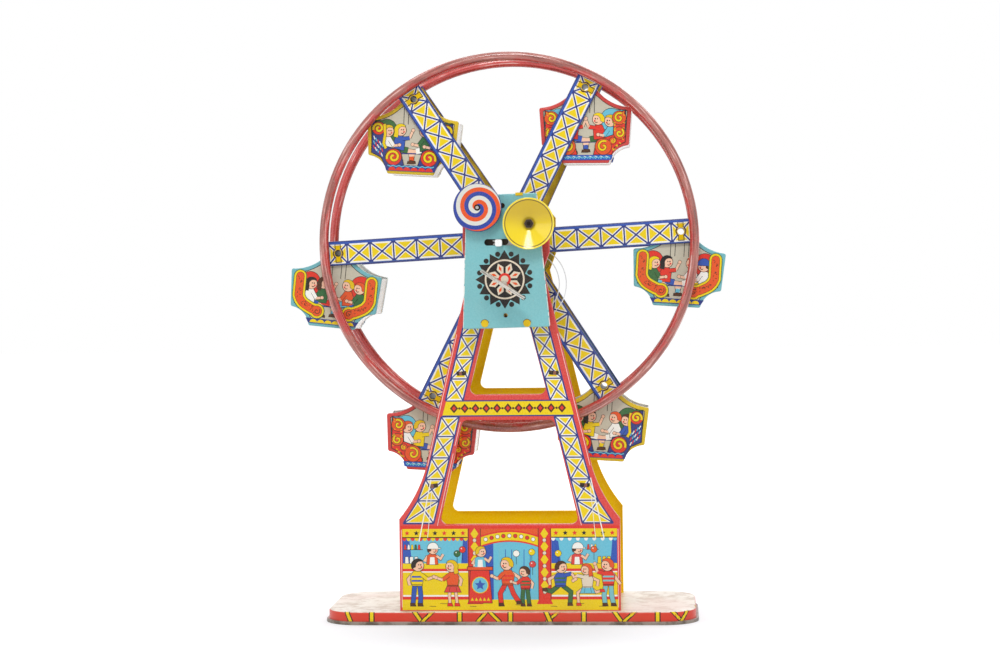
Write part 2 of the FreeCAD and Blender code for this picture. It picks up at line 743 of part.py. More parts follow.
# ---------------------------------------------------------------- gears
def gear_outline(teeth, module, bore, phase):
    """Return a gear's face, with slightly thinned straight-sided teeth and a bore."""
    pitch = module * teeth / 2
    tip, root = pitch + 0.9 * module, pitch - 1.2 * module
    step = 2 * math.pi / teeth
    shares = ((root, -0.40), (pitch, -0.215), (tip, -0.085), (tip, 0.085), (pitch, 0.215), (root, 0.40))
    points = []
    for tooth in range(teeth):
        middle = math.radians(phase) + tooth * step
        for radius, share in shares:
            angle = middle + share * step
            points.append(Vector(radius * math.cos(angle), 0, radius * math.sin(angle)))
    wire = Part.makePolygon(points + [points[0]])
    hole = Part.Wire(Part.makeCircle(bore, Vector(), Vector(0, 1, 0)))
    return Part.Face([wire, hole])


def make_gear(label, teeth, thickness, bore, phase, y, x=0, z=AXLE_Z, windows=None):
    """Make a gear as its own node; windows are the holes that lighten a large one."""
    module = D.module.value
    blank = gear_outline(int(teeth.value), module, as_size(bore).value, phase).extrude(
        Vector(0, thickness, 0))
    if windows:
        count, radius, circle = windows
        for index in range(count):
            angle = 2 * math.pi * index / count
            blank = blank.cut(cylinder_y(radius, thickness * 3, circle * math.cos(angle),
                                         -thickness, circle * math.sin(angle)))
    feature = document.addObject("Part::Feature", f"{label}_shape")
    feature.Shape = blank
    put(feature, x, y, z)
    return node(feature, label)


GREAT_WHEEL_Y = FRONT_FACE - 10.4
AXLE_PINION_Y = FRONT_FACE - 10.8
AXLE_GEAR_Y = FRONT_FACE - 7.5
DISC_PINION_Y = FRONT_FACE - 8.5
RATCHET_Y = FRONT_FACE - 13.6
HAMMER_Y = COVER_BACK + 0.8
GEAR_THICK = 1.2


def make_train():
    """The great wheel, the axle's pinion and gear, and the disc's pinion, all in mesh."""
    half_tooth = 180 / D.axle_pinion_teeth.value
    make_gear("great_wheel", D.great_teeth, GEAR_THICK, D.arbor_radius + D.play, 90,
              GREAT_WHEEL_Y, z=ARBOR_Z, windows=(3, 4.0, 16.0))
    make_gear("axle_pinion", D.axle_pinion_teeth, 2.0, D.axle_radius, -90 + half_tooth,
              AXLE_PINION_Y)
    direction = D.disc_direction.value
    make_gear("axle_gear", D.axle_gear_teeth, GEAR_THICK, D.axle_radius, direction,
              AXLE_GEAR_Y, windows=(5, 4.5, 16.5))
    make_gear("disc_pinion", D.disc_pinion_teeth, 3.2, D.disc_arbor_radius,
              direction + 180 + 180 / D.disc_pinion_teeth.value, DISC_PINION_Y, x=DISC_X, z=DISC_Z)


KEY_LEAF = 0.8
KEY_GAP = 0.5


def make_winding():
    """The winding arbor, the key's bow of two flat leaves, the ratchet, and the click."""
    front = COVER_FACE - 12
    length = BRIDGE_FACE + D.plate + 1.2 - front
    turned("winding_arbor", [
        (0, 0), (D.key_shaft_radius, 0), (D.key_shaft_radius, 13.0), (D.arbor_radius, 13.0),
        (D.arbor_radius, length), (0, length),
    ], y=front, z=ARBOR_Z)

    key = body_named("winding_key")
    bow = sketch_in(key, "XY", "key_bow")
    half = D.key_width / 2
    draw_loop(bow, [
        (-2.6, -1), (-2.6, -7), (-half + 4, -7.4), (-half, -11.4), (-half, -18.5),
        (-half + 4, -22.5, 60), (half - 4, -22.5), (half, -18.5), (half, -11.4),
        (half - 4, -7.4), (2.6, -7), (2.6, -1),
    ])
    draw_circle(bow, -half + 8.5, -15.4, 4.0)
    draw_circle(bow, half - 8.5, -15.4, 4.0)
    bow_pad = key.newObject("PartDesign::Pad", "bow_pad")
    bow_pad.Profile = bow
    bow_pad.Length = KEY_LEAF * 2 + KEY_GAP
    bow_pad.Midplane = True
    collar = sketch_in(key, "XZ", "key_collar")
    draw_circle(collar, 0, 0, D.key_shaft_radius + 0.4)
    collar_pad = key.newObject("PartDesign::Pad", "collar_pad")
    collar_pad.Profile = collar
    collar_pad.Length = 8
    collar_pad.Reversed = False
    document.recompute()
    socket = sketch_in(key, "XZ", "key_socket")
    draw_circle(socket, 0, 0, D.key_shaft_radius)
    pocket(key, socket, 7.2, towards_back=False)
    gap = sketch_in(key, "XY", "leaf_gap")
    draw_loop(gap, rectangle(-half - 1, -24, half + 1, -8.6))
    leaves = pocket(key, gap, KEY_GAP)
    leaves.Midplane = True
    put(key, y=COVER_FACE - 4.8, z=ARBOR_Z, degrees=-D.key_angle)

    teeth = 12
    tip, root = 7.0, 5.6
    points = []
    for tooth in range(teeth):
        start = 2 * math.pi * tooth / teeth
        points.append(Vector(tip * math.cos(start), 0, tip * math.sin(start)))
        points.append(Vector(root * math.cos(start), 0, root * math.sin(start)))
    points.append(points[0])
    ring = Part.Wire(Part.makeCircle(D.arbor_radius.value, Vector(), Vector(0, 1, 0)))
    ratchet = document.addObject("Part::Feature", "ratchet_shape")
    ratchet.Shape = Part.Face([Part.makePolygon(points), ring]).extrude(Vector(0, GEAR_THICK, 0))
    put(ratchet, y=RATCHET_Y, z=ARBOR_Z)
    node(ratchet, "ratchet_wheel")

    click_y = RATCHET_Y
    pivot = (-11.2, 8.4)
    flat("click", [
        [(pivot[0] - 2.4, pivot[1] - 1.5), (pivot[0] + 0.4, pivot[1] - 2.4), (-3.2, 6.6),
         (-3.4, 7.8), (pivot[0] + 2.0, pivot[1] + 2.2), (pivot[0] - 1.8, pivot[1] + 2.2)],
        (pivot[0], pivot[1], 0.9),
    ], GEAR_THICK, y=click_y, z=ARBOR_Z)
    rivet_length = GREAT_WHEEL_Y - click_y
    rivet = cylinder_y(0.9, rivet_length + 0.4, pivot[0], click_y - 0.4, pivot[1])
    head = cylinder_y(1.6, 0.4, pivot[0], click_y - 0.4, pivot[1])
    spring_post = cylinder_y(0.9, GREAT_WHEEL_Y - click_y - 1.4, -2.0, click_y + 1.4, 17.5)
    leaf = Part.makePolygon([Vector(-2.0, 0, 16.5), Vector(-2.0, 0, 18.5), Vector(-9.6, 0, 11.2),
                             Vector(-9.6, 0, 10.8), Vector(-2.0, 0, 16.5)])
    leaf_shape = Part.Face(leaf).extrude(Vector(0, 1.0, 0))
    leaf_shape.translate(Vector(0, click_y.value + 0.2, 0))
    for label, shape in (("click_rivet", rivet.fuse(head).removeSplitter()),
                         ("click_spring", spring_post.fuse(cylinder_y(
                             1.2, 1.4, -2.0, click_y, 17.5)).fuse(leaf_shape).removeSplitter())):
        shape.translate(Vector(0, 0, ARBOR_Z.value))
        group(label, [shape])


def make_disc():
    """The spiral disc on its arbor, with the trip star that works the hammer."""
    front = COVER_FACE - 8.6
    back = TOWER_BACK + 0.6
    turned("disc_arbor", [
        (0, 0), (D.disc_arbor_radius, 0), (D.disc_arbor_radius, back - front), (0, back - front),
    ], x=DISC_X, y=front, z=DISC_Z)
    sheet = D.sheet
    turned("spiral_disc", [
        (D.disc_arbor_radius, 0), (D.disc_radius - 1, 0, 1.0), (D.disc_radius, 1.0),
        (D.disc_radius, 2.6), (D.disc_radius - sheet, 2.6), (D.disc_radius - sheet, 1.0, -0.5),
        (D.disc_radius - 1, sheet), (D.disc_arbor_radius, sheet),
    ], x=DISC_X, y=front + 1.0, z=DISC_Z)
    turned("disc_rivet", [
        (D.disc_arbor_radius, 0), (2.4, 0, 1.4), (D.disc_arbor_radius + 0.3, -0.9),
        (D.disc_arbor_radius, -0.9),
    ], x=DISC_X, y=front + 1.0, z=DISC_Z)
    lobes = 4
    points = []
    for lobe in range(lobes):
        start = 2 * math.pi * lobe / lobes
        points.append(Vector(4.6 * math.cos(start), 0, 4.6 * math.sin(start)))
        points.append(Vector(2.6 * math.cos(start + 0.5), 0, 2.6 * math.sin(start + 0.5)))
    hole = Part.Wire(Part.makeCircle(D.disc_arbor_radius.value, Vector(), Vector(0, 1, 0)))
    star = document.addObject("Part::Feature", "trip_star_shape")
    star.Shape = Part.Face([Part.makePolygon(points + [points[0]]), hole]).extrude(Vector(0, 1.0, 0))
    put(star, DISC_X, HAMMER_Y, DISC_Z)
    node(star, "trip_star")


HAMMER_REST = -95.1
HAMMER_TAIL = 12.6
NECK_HALF = 1.0
HEAD_HALF = 2.5
HEAD_STEP = 1.5      # from the cover's face to the back of the hammer's head


def make_hammer():
    """The bell hammer: an arm that hangs from a rivet, a tail by the star and a bent head."""
    head_x, head_z = polar(D.hammer_reach, HAMMER_REST)
    tail_x, tail_z = polar(as_size(HAMMER_TAIL), 186)
    body = body_named("bell_hammer")
    sketch = sketch_in(body, "XZ", "hammer_arm")
    draw_loop(sketch, [
        (1.6, 1.8), (-2.0, 2.0), (tail_x, tail_z + 0.9), (tail_x, tail_z - 0.9), (-2.6, -2.2),
        (head_x - 1.6, head_z - NECK_HALF), (head_x + 1.6, head_z - NECK_HALF), (2.0, -2.0),
    ])
    draw_circle(sketch, 0, 0, 1.1 + D.play)
    pad(body, sketch, D.sheet * 2)
    neck = sketch_in(body, "XZ", "hammer_neck")
    draw_loop(neck, rectangle(head_x - NECK_HALF, head_z - NECK_HALF,
                              head_x + NECK_HALF, head_z + NECK_HALF))
    to_head = HAMMER_Y - COVER_FACE + HEAD_STEP
    pad(body, neck, to_head, towards_back=False)
    head = sketch_in(body, "XZ", "hammer_head")
    draw_loop(head, [(head_x + c[0], head_z + c[1], *c[2:])
                     for c in rounded_rectangle(HEAD_HALF, HEAD_HALF, 1.4)])
    bind(head, "AttachmentOffset.Base.z", to_head)
    pad(body, head, 8.3, towards_back=False)
    put(body, D.hammer_x, HAMMER_Y, HAMMER_Z)
    turned("hammer_rivet", [
        (0, 0), (1.8, 0), (1.8, 0.5), (1.1, 0.5), (1.1, HAMMER_Y - COVER_FACE + 0.5 + 1.1),
        (2.0, HAMMER_Y - COVER_FACE + 1.6), (2.0, HAMMER_Y - COVER_FACE + 2.2),
        (0, HAMMER_Y - COVER_FACE + 2.2),
    ], x=D.hammer_x, y=COVER_FACE - 0.5, z=HAMMER_Z)


def make_bell():
    """The bell: a coned dish on a stud through the cover, with a nut in its middle."""
    dish_y = COVER_FACE - 1.8
    sheet = 0.6
    turned("bell_dish", [
        (1.5, 0), (4.4, 0), (D.bell_radius - 0.9, -6.6, 0.75), (D.bell_radius, -7.6, 0.75),
        (D.bell_radius - 1.3, -7.3), (4.0, -sheet), (1.5, -sheet),
    ], x=D.bell_x, y=dish_y, z=BELL_Z)
    turned("bell_stud", [
        (0, 0), (1.5, 0), (1.5, 3.6), (3.2, 3.6), (3.2, 5.4), (1.5, 5.4), (1.5, 6.9), (0, 6.9),
    ], x=D.bell_x, y=COVER_FACE - 5.4, z=BELL_Z)
    hexagon = Part.makePolygon([
        Vector(3.4 * math.cos(math.radians(60 * i)), 0, 3.4 * math.sin(math.radians(60 * i)))
        for i in range(7)])
    nut = Part.Face(hexagon).extrude(Vector(0, 1.8, 0)).cut(cylinder_y(1.5, 4, 0, -1, 0))
    nut.translate(Vector(D.bell_x.value, (dish_y - sheet - 1.8).value, BELL_Z.value))
    group("bell_nut", [nut])


# ---------------------------------------------------------------- the wheel
def make_rings():
    """The two rings of rolled tin tube, each with its seam on the inside."""
    centre = D.ring_radius - D.ring_tube
    seam = D.ring_seam / 2
    inner_tube = D.ring_tube - D.sheet
    outer_run = math.sqrt(D.ring_tube.value ** 2 - seam.value ** 2)
    inner_run = math.sqrt(inner_tube.value ** 2 - seam.value ** 2)
    for label, y in (("front_ring", -D.ring_spacing / 2), ("rear_ring", D.ring_spacing / 2)):
        body = body_named(label)
        sketch = sketch_in(body, "XY", f"{label}_section")
        start = math.asin(seam.value / D.ring_tube.value)
        middle = Vector(centre.value, 0, 0)
        outer = sketch.addGeometry(Part.ArcOfCircle(
            Part.Circle(middle, Vector(0, 0, 1), D.ring_tube.value),
            math.pi + start, 3 * math.pi - start), False)
        inner = sketch.addGeometry(Part.ArcOfCircle(
            Part.Circle(middle, Vector(0, 0, 1), inner_tube.value),
            math.pi + start, 3 * math.pi - start), False)
        low = sketch.addGeometry(Part.LineSegment(
            Vector(centre.value - outer_run, -seam.value, 0),
            Vector(centre.value - inner_run, -seam.value, 0)), False)
        high = sketch.addGeometry(Part.LineSegment(
            Vector(centre.value - inner_run, seam.value, 0),
            Vector(centre.value - outer_run, seam.value, 0)), False)
        for line, point, arc, end in ((low, 1, outer, 1), (low, 2, inner, 1),
                                      (high, 1, inner, 2), (high, 2, outer, 2)):
            sketch.addConstraint(Sketcher.Constraint("Coincident", line, point, arc, end))
        sketch.addConstraint(Sketcher.Constraint("Coincident", inner, 3, outer, 3))
        hold(sketch, "DistanceX", outer, 3, size=centre)
        hold(sketch, "DistanceY", outer, 3, size=0)
        hold(sketch, "Radius", outer, size=D.ring_tube)
        hold(sketch, "Radius", inner, size=inner_tube)
        hold(sketch, "DistanceY", low, 1, size=-seam)
        hold(sketch, "DistanceY", high, 1, size=seam)
        hold(sketch, "DistanceY", low, 2, size=-seam)
        hold(sketch, "DistanceY", high, 2, size=seam)
        revolution = body.newObject("PartDesign::Revolution", f"{label}_rolling")
        revolution.Profile = sketch
        revolution.ReferenceAxis = (sketch, ["V_Axis"])
        revolution.Angle = 360
        put(body, y=y, z=AXLE_Z)


def spoke_shape():
    """Return one spoke along X: a channel with rolled edges, pierced for its pivot tube."""
    body = document.addObject("PartDesign::Body", "spoke_pattern")
    sketch = sketch_in(body, "XZ", "spoke_outline")
    half = D.spoke_width / 2
    draw_loop(sketch, rectangle(D.spoke_start, -half, D.spoke_end, half))
    block = pad(body, sketch, D.spoke_depth)
    rolled = round_edges(body, block, D.roll, lambda edge: lies_at("y", 0)(edge)
                         and max(abs(p.z) for p in edge.discretize(3)) > half.value - 0.01
                         and abs(edge.discretize(3)[0].z - edge.discretize(3)[2].z) < 0.01)
    hollow(body, rolled, D.sheet, Vector(0, 1, 0))
    holes = sketch_in(body, "XZ", "pivot_hole")
    draw_circle(holes, D.pivot_circle, 0, D.pivot_radius)
    pocket(body, holes, D.sheet)
    return body.Shape.copy()


def pivot_tube_shape():
    """Return one gondola's pivot tube, with two tabs turned out at each end."""
    half = SPOKE_FACE.value + 0.6
    tube = cylinder_y(D.pivot_radius, 2 * half, 0, -half, 0)
    for end in (-1, 1):
        for side in (-1, 1):
            low = D.pivot_radius.value - 0.3
            tab = box_at(-1.6, -half if end < 0 else half - 0.6,
                         low if side > 0 else -low - 3.2, 3.2, 0.6, 3.2)
            tube = tube.fuse(tab)
    return tube.cut(cylinder_y(D.pivot_radius - D.pivot_wall, 2 * half + 2, 0, -half - 1, 0))


REAR_SKEWS = (0, 1.9, 1.2, 0, 0, 0)      # how far each rear spoke is riveted on askew
REAR_SPOKE_START = 20.0


def around_wheel(shape, index):
    """Turn a shape from the first spoke's direction to that of another spoke."""
    copy = shape.copy()
    copy.rotate(Vector(), Vector(0, 1, 0), -(D.wheel_angle.value + SPOKE_STEP * index))
    copy.translate(Vector(0, 0, AXLE_Z.value))
    return copy


def make_wheel():
    """The axle, hubs, spokes, rings and pivot tubes, which turn together."""
    spoke = spoke_shape()
    front = spoke.copy()
    front.translate(Vector(0, -SPOKE_FACE.value, 0))
    rear = spoke.common(box_at(REAR_SPOKE_START, -1, -20, 130, 10, 40))
    rear.rotate(Vector(), Vector(1, 0, 0), 180)
    rear.translate(Vector(0, SPOKE_FACE.value, 0))

    def rear_spoke(index):
        askew = rear.copy()
        askew.rotate(Vector(D.pivot_circle.value, 0, 0), Vector(0, 1, 0), -REAR_SKEWS[index])
        return around_wheel(askew, index)

    group("front_spokes", [around_wheel(front, index) for index in range(SPOKE_COUNT)])
    group("rear_spokes", [rear_spoke(index) for index in range(SPOKE_COUNT)])
    tube = pivot_tube_shape()
    tube.translate(Vector(D.pivot_circle.value, 0, 0))
    group("pivot_tubes", [around_wheel(tube, index) for index in range(SPOKE_COUNT)])

    disc_face = SPOKE_FACE - D.spoke_depth
    flange = 2.2
    for label, side in (("front_hub", -1), ("rear_hub", 1)):
        near, far = disc_face * side, (disc_face - D.sheet) * side
        end = (disc_face + flange) * side
        collar = D.axle_radius + 4.5
        profile = [(D.axle_radius, far), (D.hub_radius, far), (D.hub_radius, near),
                   (collar, near), (collar, end), (D.axle_radius, end)]
        turned(label, profile if side > 0 else profile[::-1], z=AXLE_Z)
    start, end = FRONT_FACE - 12, -FRONT_FACE + 3
    turned("wheel_axle", [
        (0, start), (D.axle_radius, start), (D.axle_radius, end), (0, end)], z=AXLE_Z)
    turned("axle_sleeve", [
        (D.axle_radius, -disc_face + D.sheet), (D.axle_radius + 2.2, -disc_face + D.sheet),
        (D.axle_radius + 2.2, disc_face - D.sheet), (D.axle_radius, disc_face - D.sheet),
    ], z=AXLE_Z)
    nut_y = -FRONT_FACE + 1.6
    turned("axle_cap", [
        (D.axle_radius, 0), (5.0, 0), (5.0, 0.8), (3.6, 2.0), (D.axle_radius, 2.0),
    ], y=nut_y - 0.2, z=AXLE_Z)


# ---------------------------------------------------------------- the gondolas
def boat_half_outline():
    """Return the right half of a gondola's outline, from the peak to the floor."""
    return [
        (D.boat_peak_half, D.boat_peak, -D.boat_eave_bend * -1),
        (D.boat_half, -D.boat_corner_drop),
        (D.boat_side_half, -D.boat_side_drop, D.boat_bilge_bend),
        (D.boat_floor_half, -D.boat_floor_drop),
    ]


def panel_shape():
    """Return a gondola's panel: a shallow printed tray whose edge is turned inwards."""
    body = document.addObject("PartDesign::Body", "panel_pattern")
    sketch = sketch_in(body, "XZ", "panel_outline")
    draw_loop(sketch, mirrored(boat_half_outline()))
    block = pad(body, sketch, D.boat_flange)
    corners = round_edges(body, block, 1.6, lambda edge: runs_along_y(edge)
                          and abs(edge.Vertexes[0].Point.z) > 5.7)
    shell = hollow(body, corners, D.sheet, Vector(0, 1, 0))
    round_edges(body, shell, D.roll, lies_at("y", 0))
    hole = sketch_in(body, "XZ", "panel_pivot_hole")
    draw_circle(hole, 0, 0, D.pivot_radius + D.play)
    pocket(body, hole, D.sheet)
    return body.Shape.copy()


def tub_shape():
    """Return a gondola's tub: one strip bent into sides, hollow lower corners and a floor."""
    gap, sheet = D.sheet.value, D.sheet.value
    outline = Part.Wire(outline_edges(mirrored(boat_half_outline())))
    outer = outline.makeOffset2D(-gap - 0.02, 0, False, False, False)
    inner = outline.makeOffset2D(-gap - 0.02 - sheet, 0, False, False, False)
    half = BOAT_FACE.value - D.sheet.value
    blocks = []
    for wire, rounding in ((outer, 1.06), (inner, 0.56)):
        block = Part.Face(wire).extrude(Vector(0, 0, 2 * half))
        uprights = [edge for edge in block.Edges if edge.Length > 2 * half - 0.01
                    and edge.Vertexes[0].X ** 2 > 10 and edge.Vertexes[0].Y < 0]
        blocks.append(block.makeFillet(rounding, uprights))
    strip = blocks[0].cut(blocks[1])
    strip.rotate(Vector(), Vector(1, 0, 0), 90)
    strip.translate(Vector(0, half, 0))
    top = -D.boat_corner_drop.value - 1.2
    return strip.cut(box_at(-60, -40, top, 120, 80, 60))


def outline_edges(corners):
    """Return the edges of an outline, in the plane of its two coordinates."""
    points = [Vector(as_size(c[0]).value, as_size(c[1]).value, 0) for c in corners]
    edges = []
    for index, corner in enumerate(corners):
        start, end = points[index], points[(index + 1) % len(points)]
        if len(corner) > 2 and as_size(corner[2]).value != 0:
            edges.append(arc_between(start, end, as_size(corner[2]).value).toShape())
        else:
            edges.append(Part.makeLine(start, end))
    return edges


def make_gondolas():
    """Six gondolas, each of two panels and a tub, hung from their pivot tubes."""
    panel, tub = panel_shape(), tub_shape()
    front = panel.copy()
    front.translate(Vector(0, -BOAT_FACE.value, 0))
    rear = panel.copy()
    rear.rotate(Vector(), Vector(0, 0, 1), 180)
    rear.translate(Vector(0, BOAT_FACE.value, 0))
    for label, place, askew in GONDOLAS:
        angle = math.radians(D.wheel_angle.value + SPOKE_STEP * place)
        pivot = Vector(D.pivot_circle.value * math.cos(angle), 0,
                       AXLE_Z.value + D.pivot_circle.value * math.sin(angle))
        for piece, shape in (("front_panel", front), ("rear_panel", rear), ("tub", tub)):
            hung = shape.copy()
            hung.rotate(Vector(), Vector(0, 1, 0), askew)
            hung.translate(pivot)
            group(f"{label}_{piece}", [hung])


def write_parts():
    """Recompute, check every object, and write one STEP file for each node."""
    document.recompute()
    for thing in document.Objects:
        if "Invalid" in thing.State or "Error" in thing.State:
            raise RuntimeError(f"{thing.Name} failed: {thing.State}")
    os.makedirs("parts", exist_ok=True)
    for thing in nodes:
        shape = thing.Shape
        if shape.isNull() or not shape.isValid() or not shape.Solids:
            raise RuntimeError(f"{thing.Label} has no valid solid")
        shape.exportStep(f"parts/{thing.Label}.step")
        print(f"{thing.Label}: {len(shape.Solids)} solid(s), {shape.Volume / 1000:.2f} cm3")


make_base()
make_tower("front_tower", is_front=True)
make_tower("rear_tower", is_front=False)
make_stiffeners()
make_bushes()
make_cover()
make_cover_posts()
make_bridge()
make_mainspring()
make_train()
make_winding()
make_disc()
make_hammer()
make_bell()
make_rings()
make_wheel()
make_gondolas()
write_parts()
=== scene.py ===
"""Looks of the clockwork tinplate Ferris wheel toy, laid out as an add-on and run as a script.

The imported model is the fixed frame. The printed artwork is laid on it in thin layers of ink,
and every piece of tin, steel and brass gets its own finish.
"""
import json
import math
import random

import bpy
from mathutils import Matrix, Vector


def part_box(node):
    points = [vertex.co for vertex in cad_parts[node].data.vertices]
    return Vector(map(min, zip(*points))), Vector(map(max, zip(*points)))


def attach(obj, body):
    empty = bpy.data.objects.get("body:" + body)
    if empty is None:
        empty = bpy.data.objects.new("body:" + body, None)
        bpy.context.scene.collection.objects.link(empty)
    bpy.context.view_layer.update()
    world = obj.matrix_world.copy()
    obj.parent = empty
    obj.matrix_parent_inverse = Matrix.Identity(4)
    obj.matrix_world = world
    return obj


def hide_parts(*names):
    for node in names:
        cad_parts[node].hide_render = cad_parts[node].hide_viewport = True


bl_info = {
    "name": "Tinplate Ferris wheel",
    "version": (1, 0, 0),
    "blender": (4, 5, 0),
    "location": "View3D > Sidebar > Ferris wheel",
    "description": "Prints and finishes a clockwork tinplate Ferris wheel toy",
    "category": "Object",
}

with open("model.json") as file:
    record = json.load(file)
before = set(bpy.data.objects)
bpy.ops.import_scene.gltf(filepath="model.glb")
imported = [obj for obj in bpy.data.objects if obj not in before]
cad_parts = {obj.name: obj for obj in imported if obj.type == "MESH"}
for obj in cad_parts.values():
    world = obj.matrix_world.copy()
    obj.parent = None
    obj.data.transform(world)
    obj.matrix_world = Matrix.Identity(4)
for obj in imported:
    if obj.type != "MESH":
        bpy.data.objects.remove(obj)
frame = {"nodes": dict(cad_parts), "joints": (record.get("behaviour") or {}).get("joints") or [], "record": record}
NODES = frame["nodes"]
JOINTS = {joint["name"]: Vector(joint["pos_m"]) for joint in frame["joints"]}

MM = 0.001
WHEEL = JOINTS["wheel_turn"]
PLANE = WHEEL.y / MM                 # the wheel's middle plane, mm
AXLE = WHEEL.z / MM                  # the axle's height, mm
PIVOT_CIRCLE = (JOINTS["gondola_1_hang"] - WHEEL).length / MM   # from the axle to a pivot, mm
ARM_ANGLE = 3.0                      # first spoke above the horizontal, degrees
TOWER_FACE = 50.0                    # towers' outer faces from the wheel's plane, mm
COVER_FACE = 68.0                    # the cover plate's
SPOKE_FACE = 23.0                    # the spokes'
PANEL_FACE = 20.2                    # the gondola panels'
LAYER = 0.024                        # thickness of one layer of ink, mm
RISE = 0.00095                       # how much higher each next shape lies, mm
RISES = 23                           # shapes after which that starts again
SMALLEST_AREA = 0.6                  # smaller rests of a lattice triangle are left out, mm2
TILTS = (4.0, 0.5, 3.5, 6.5, 3.0, 3.5)   # how far each gondola hangs askew, degrees
BORDERS = ("turquoise", "red", "yellow", "turquoise", "red", "yellow")
BELL_LINE = 17.2                     # radius of the bell's dark line of painted shade, mm
REAR_SKEWS = (0, 1.9, 1.2, 0, 0, 0)  # how far each rear spoke is riveted on askew, degrees


def linear(red, green, blue):
    """Return a colour for the shaders from its 0 to 255 values."""
    def channel(value):
        share = value / 255
        return share / 12.92 if share <= 0.04045 else ((share + 0.055) / 1.055) ** 2.4
    return tuple(channel(value) for value in (red, green, blue))


# ---------------------------------------------------------------- settings
INKS = {
    "yellow": (236, 206, 12), "gold": (226, 188, 10), "white": (242, 241, 234),
    "cream": (226, 212, 190), "beige": (197, 191, 172), "blue": (48, 86, 176),
    "navy": (42, 56, 128), "red": (222, 52, 40), "coral": (216, 66, 62),
    "orange": (226, 86, 36), "turquoise": (124, 190, 196), "sky": (104, 190, 214),
    "black": (26, 22, 22), "brown": (78, 44, 22), "green": (52, 104, 58), "skin": (243, 196, 166),
    "pale": (246, 214, 208), "rust": (134, 84, 70),
}


def ink_property(name, value):
    return bpy.props.FloatVectorProperty(
        name=name.capitalize(), description=f"Printing ink: {name}", subtype="COLOR",
        size=3, min=0, max=1, default=linear(*value))


class FERRIS_PG_inks(bpy.types.PropertyGroup):
    """Printing inks."""
    __annotations__ = {name: ink_property(name, value) for name, value in INKS.items()}


class FERRIS_PG_sizes(bpy.types.PropertyGroup):
    """Sizes of the printed artwork."""
    line: bpy.props.FloatProperty(
        name="Lattice line", description="Width of the blue lattice lines",
        default=1.15 * MM, min=0.0, unit="LENGTH")
    cell: bpy.props.FloatProperty(
        name="Spoke cell", description="Length of one lattice cell on a spoke",
        default=17.6 * MM, min=0.0, unit="LENGTH")
    margin: bpy.props.FloatProperty(
        name="White margin", description="White left round each yellow triangle",
        default=1.25 * MM, min=0.0, unit="LENGTH")
    bulb: bpy.props.FloatProperty(
        name="Bulb", description="Radius of a printed lamp bulb",
        default=1.3 * MM, min=0.0, unit="LENGTH")


# ---------------------------------------------------------------- places
def point(x, y, z):
    """Return a place in metres from millimetres; y counts from the wheel's plane."""
    return Vector((x * MM, (y + PLANE) * MM, z * MM))


def on_front(face):
    """Map artwork to an upright face that looks to the front."""
    return lambda across, up, height: point(across, -face - height, up)


def on_back(face):
    """Map artwork to an upright face that looks to the back."""
    return lambda across, up, height: point(-across, face + height, up)


def on_panel(number, side):
    """Map artwork to a gondola's panel, whose origin is the pivot; side is -1 in front."""
    pivot = JOINTS[f"gondola_{number}_hang"] / MM
    tilt = math.radians(TILTS[number - 1])

    def place(across, up, height):
        across = -side * across
        x = across * math.cos(tilt) + up * math.sin(tilt)
        z = -across * math.sin(tilt) + up * math.cos(tilt)
        return point(pivot.x + x, side * (PANEL_FACE + height), pivot.z + z)
    return place


def turned_over(place):
    """Return a map for the same face with up and down exchanged."""
    return lambda x, y, height: place(x, -y, height)


def moved_across(place, across):
    """Return a map for the same face, moved sideways."""
    return lambda x, y, height: place(x + across, y, height)


def on_spoke(index, side):
    """Map artwork to a spoke: across runs out along it, up runs anticlockwise from the front."""
    angle = math.radians(ARM_ANGLE + 60 * index)
    turn = angle + (math.radians(REAR_SKEWS[index]) if side > 0 else 0)

    def place(along, up, height):
        along -= PIVOT_CIRCLE
        x = PIVOT_CIRCLE * math.cos(angle) + along * math.cos(turn) - up * math.sin(turn)
        z = PIVOT_CIRCLE * math.sin(angle) + along * math.sin(turn) + up * math.cos(turn)
        return point(x, side * (SPOKE_FACE + height), AXLE + z)
    return place


# ---------------------------------------------------------------- flat shapes
def area_of(outline):
    """Return an outline's area, which is negative where it runs clockwise."""
    total = 0.0
    for (x0, y0), (x1, y1) in zip(outline, outline[1:] + outline[:1]):
        total += x0 * y1 - x1 * y0
    return total / 2


def arc(x, y, radius, start, end, steps=12):
    """Return points along an arc, with angles in degrees."""
    turns = [math.radians(start + (end - start) * i / steps) for i in range(steps + 1)]
    return [(x + radius * math.cos(turn), y + radius * math.sin(turn)) for turn in turns]


def circle(x, y, radius, steps=20):
    return arc(x, y, radius, 0, 360, steps)[:-1]


def bowed(start, end, bend, steps=12):
    """Return points from start to end on an arc; a positive bend curves about the left."""
    (x0, y0), (x1, y1) = start, end
    chord = Vector((x1 - x0, y1 - y0))
    left = Vector((-chord.y, chord.x)).normalized()
    rise = math.sqrt(max(bend * bend - chord.length_squared / 4, 0))
    centre = Vector(((x0 + x1) / 2, (y0 + y1) / 2)) + left * math.copysign(rise, bend)
    first = math.atan2(y0 - centre.y, x0 - centre.x)
    sweep = (math.atan2(y1 - centre.y, x1 - centre.x) - first + math.pi) % math.tau - math.pi
    return [(centre.x + abs(bend) * math.cos(first + sweep * i / steps),
             centre.y + abs(bend) * math.sin(first + sweep * i / steps)) for i in range(steps)]


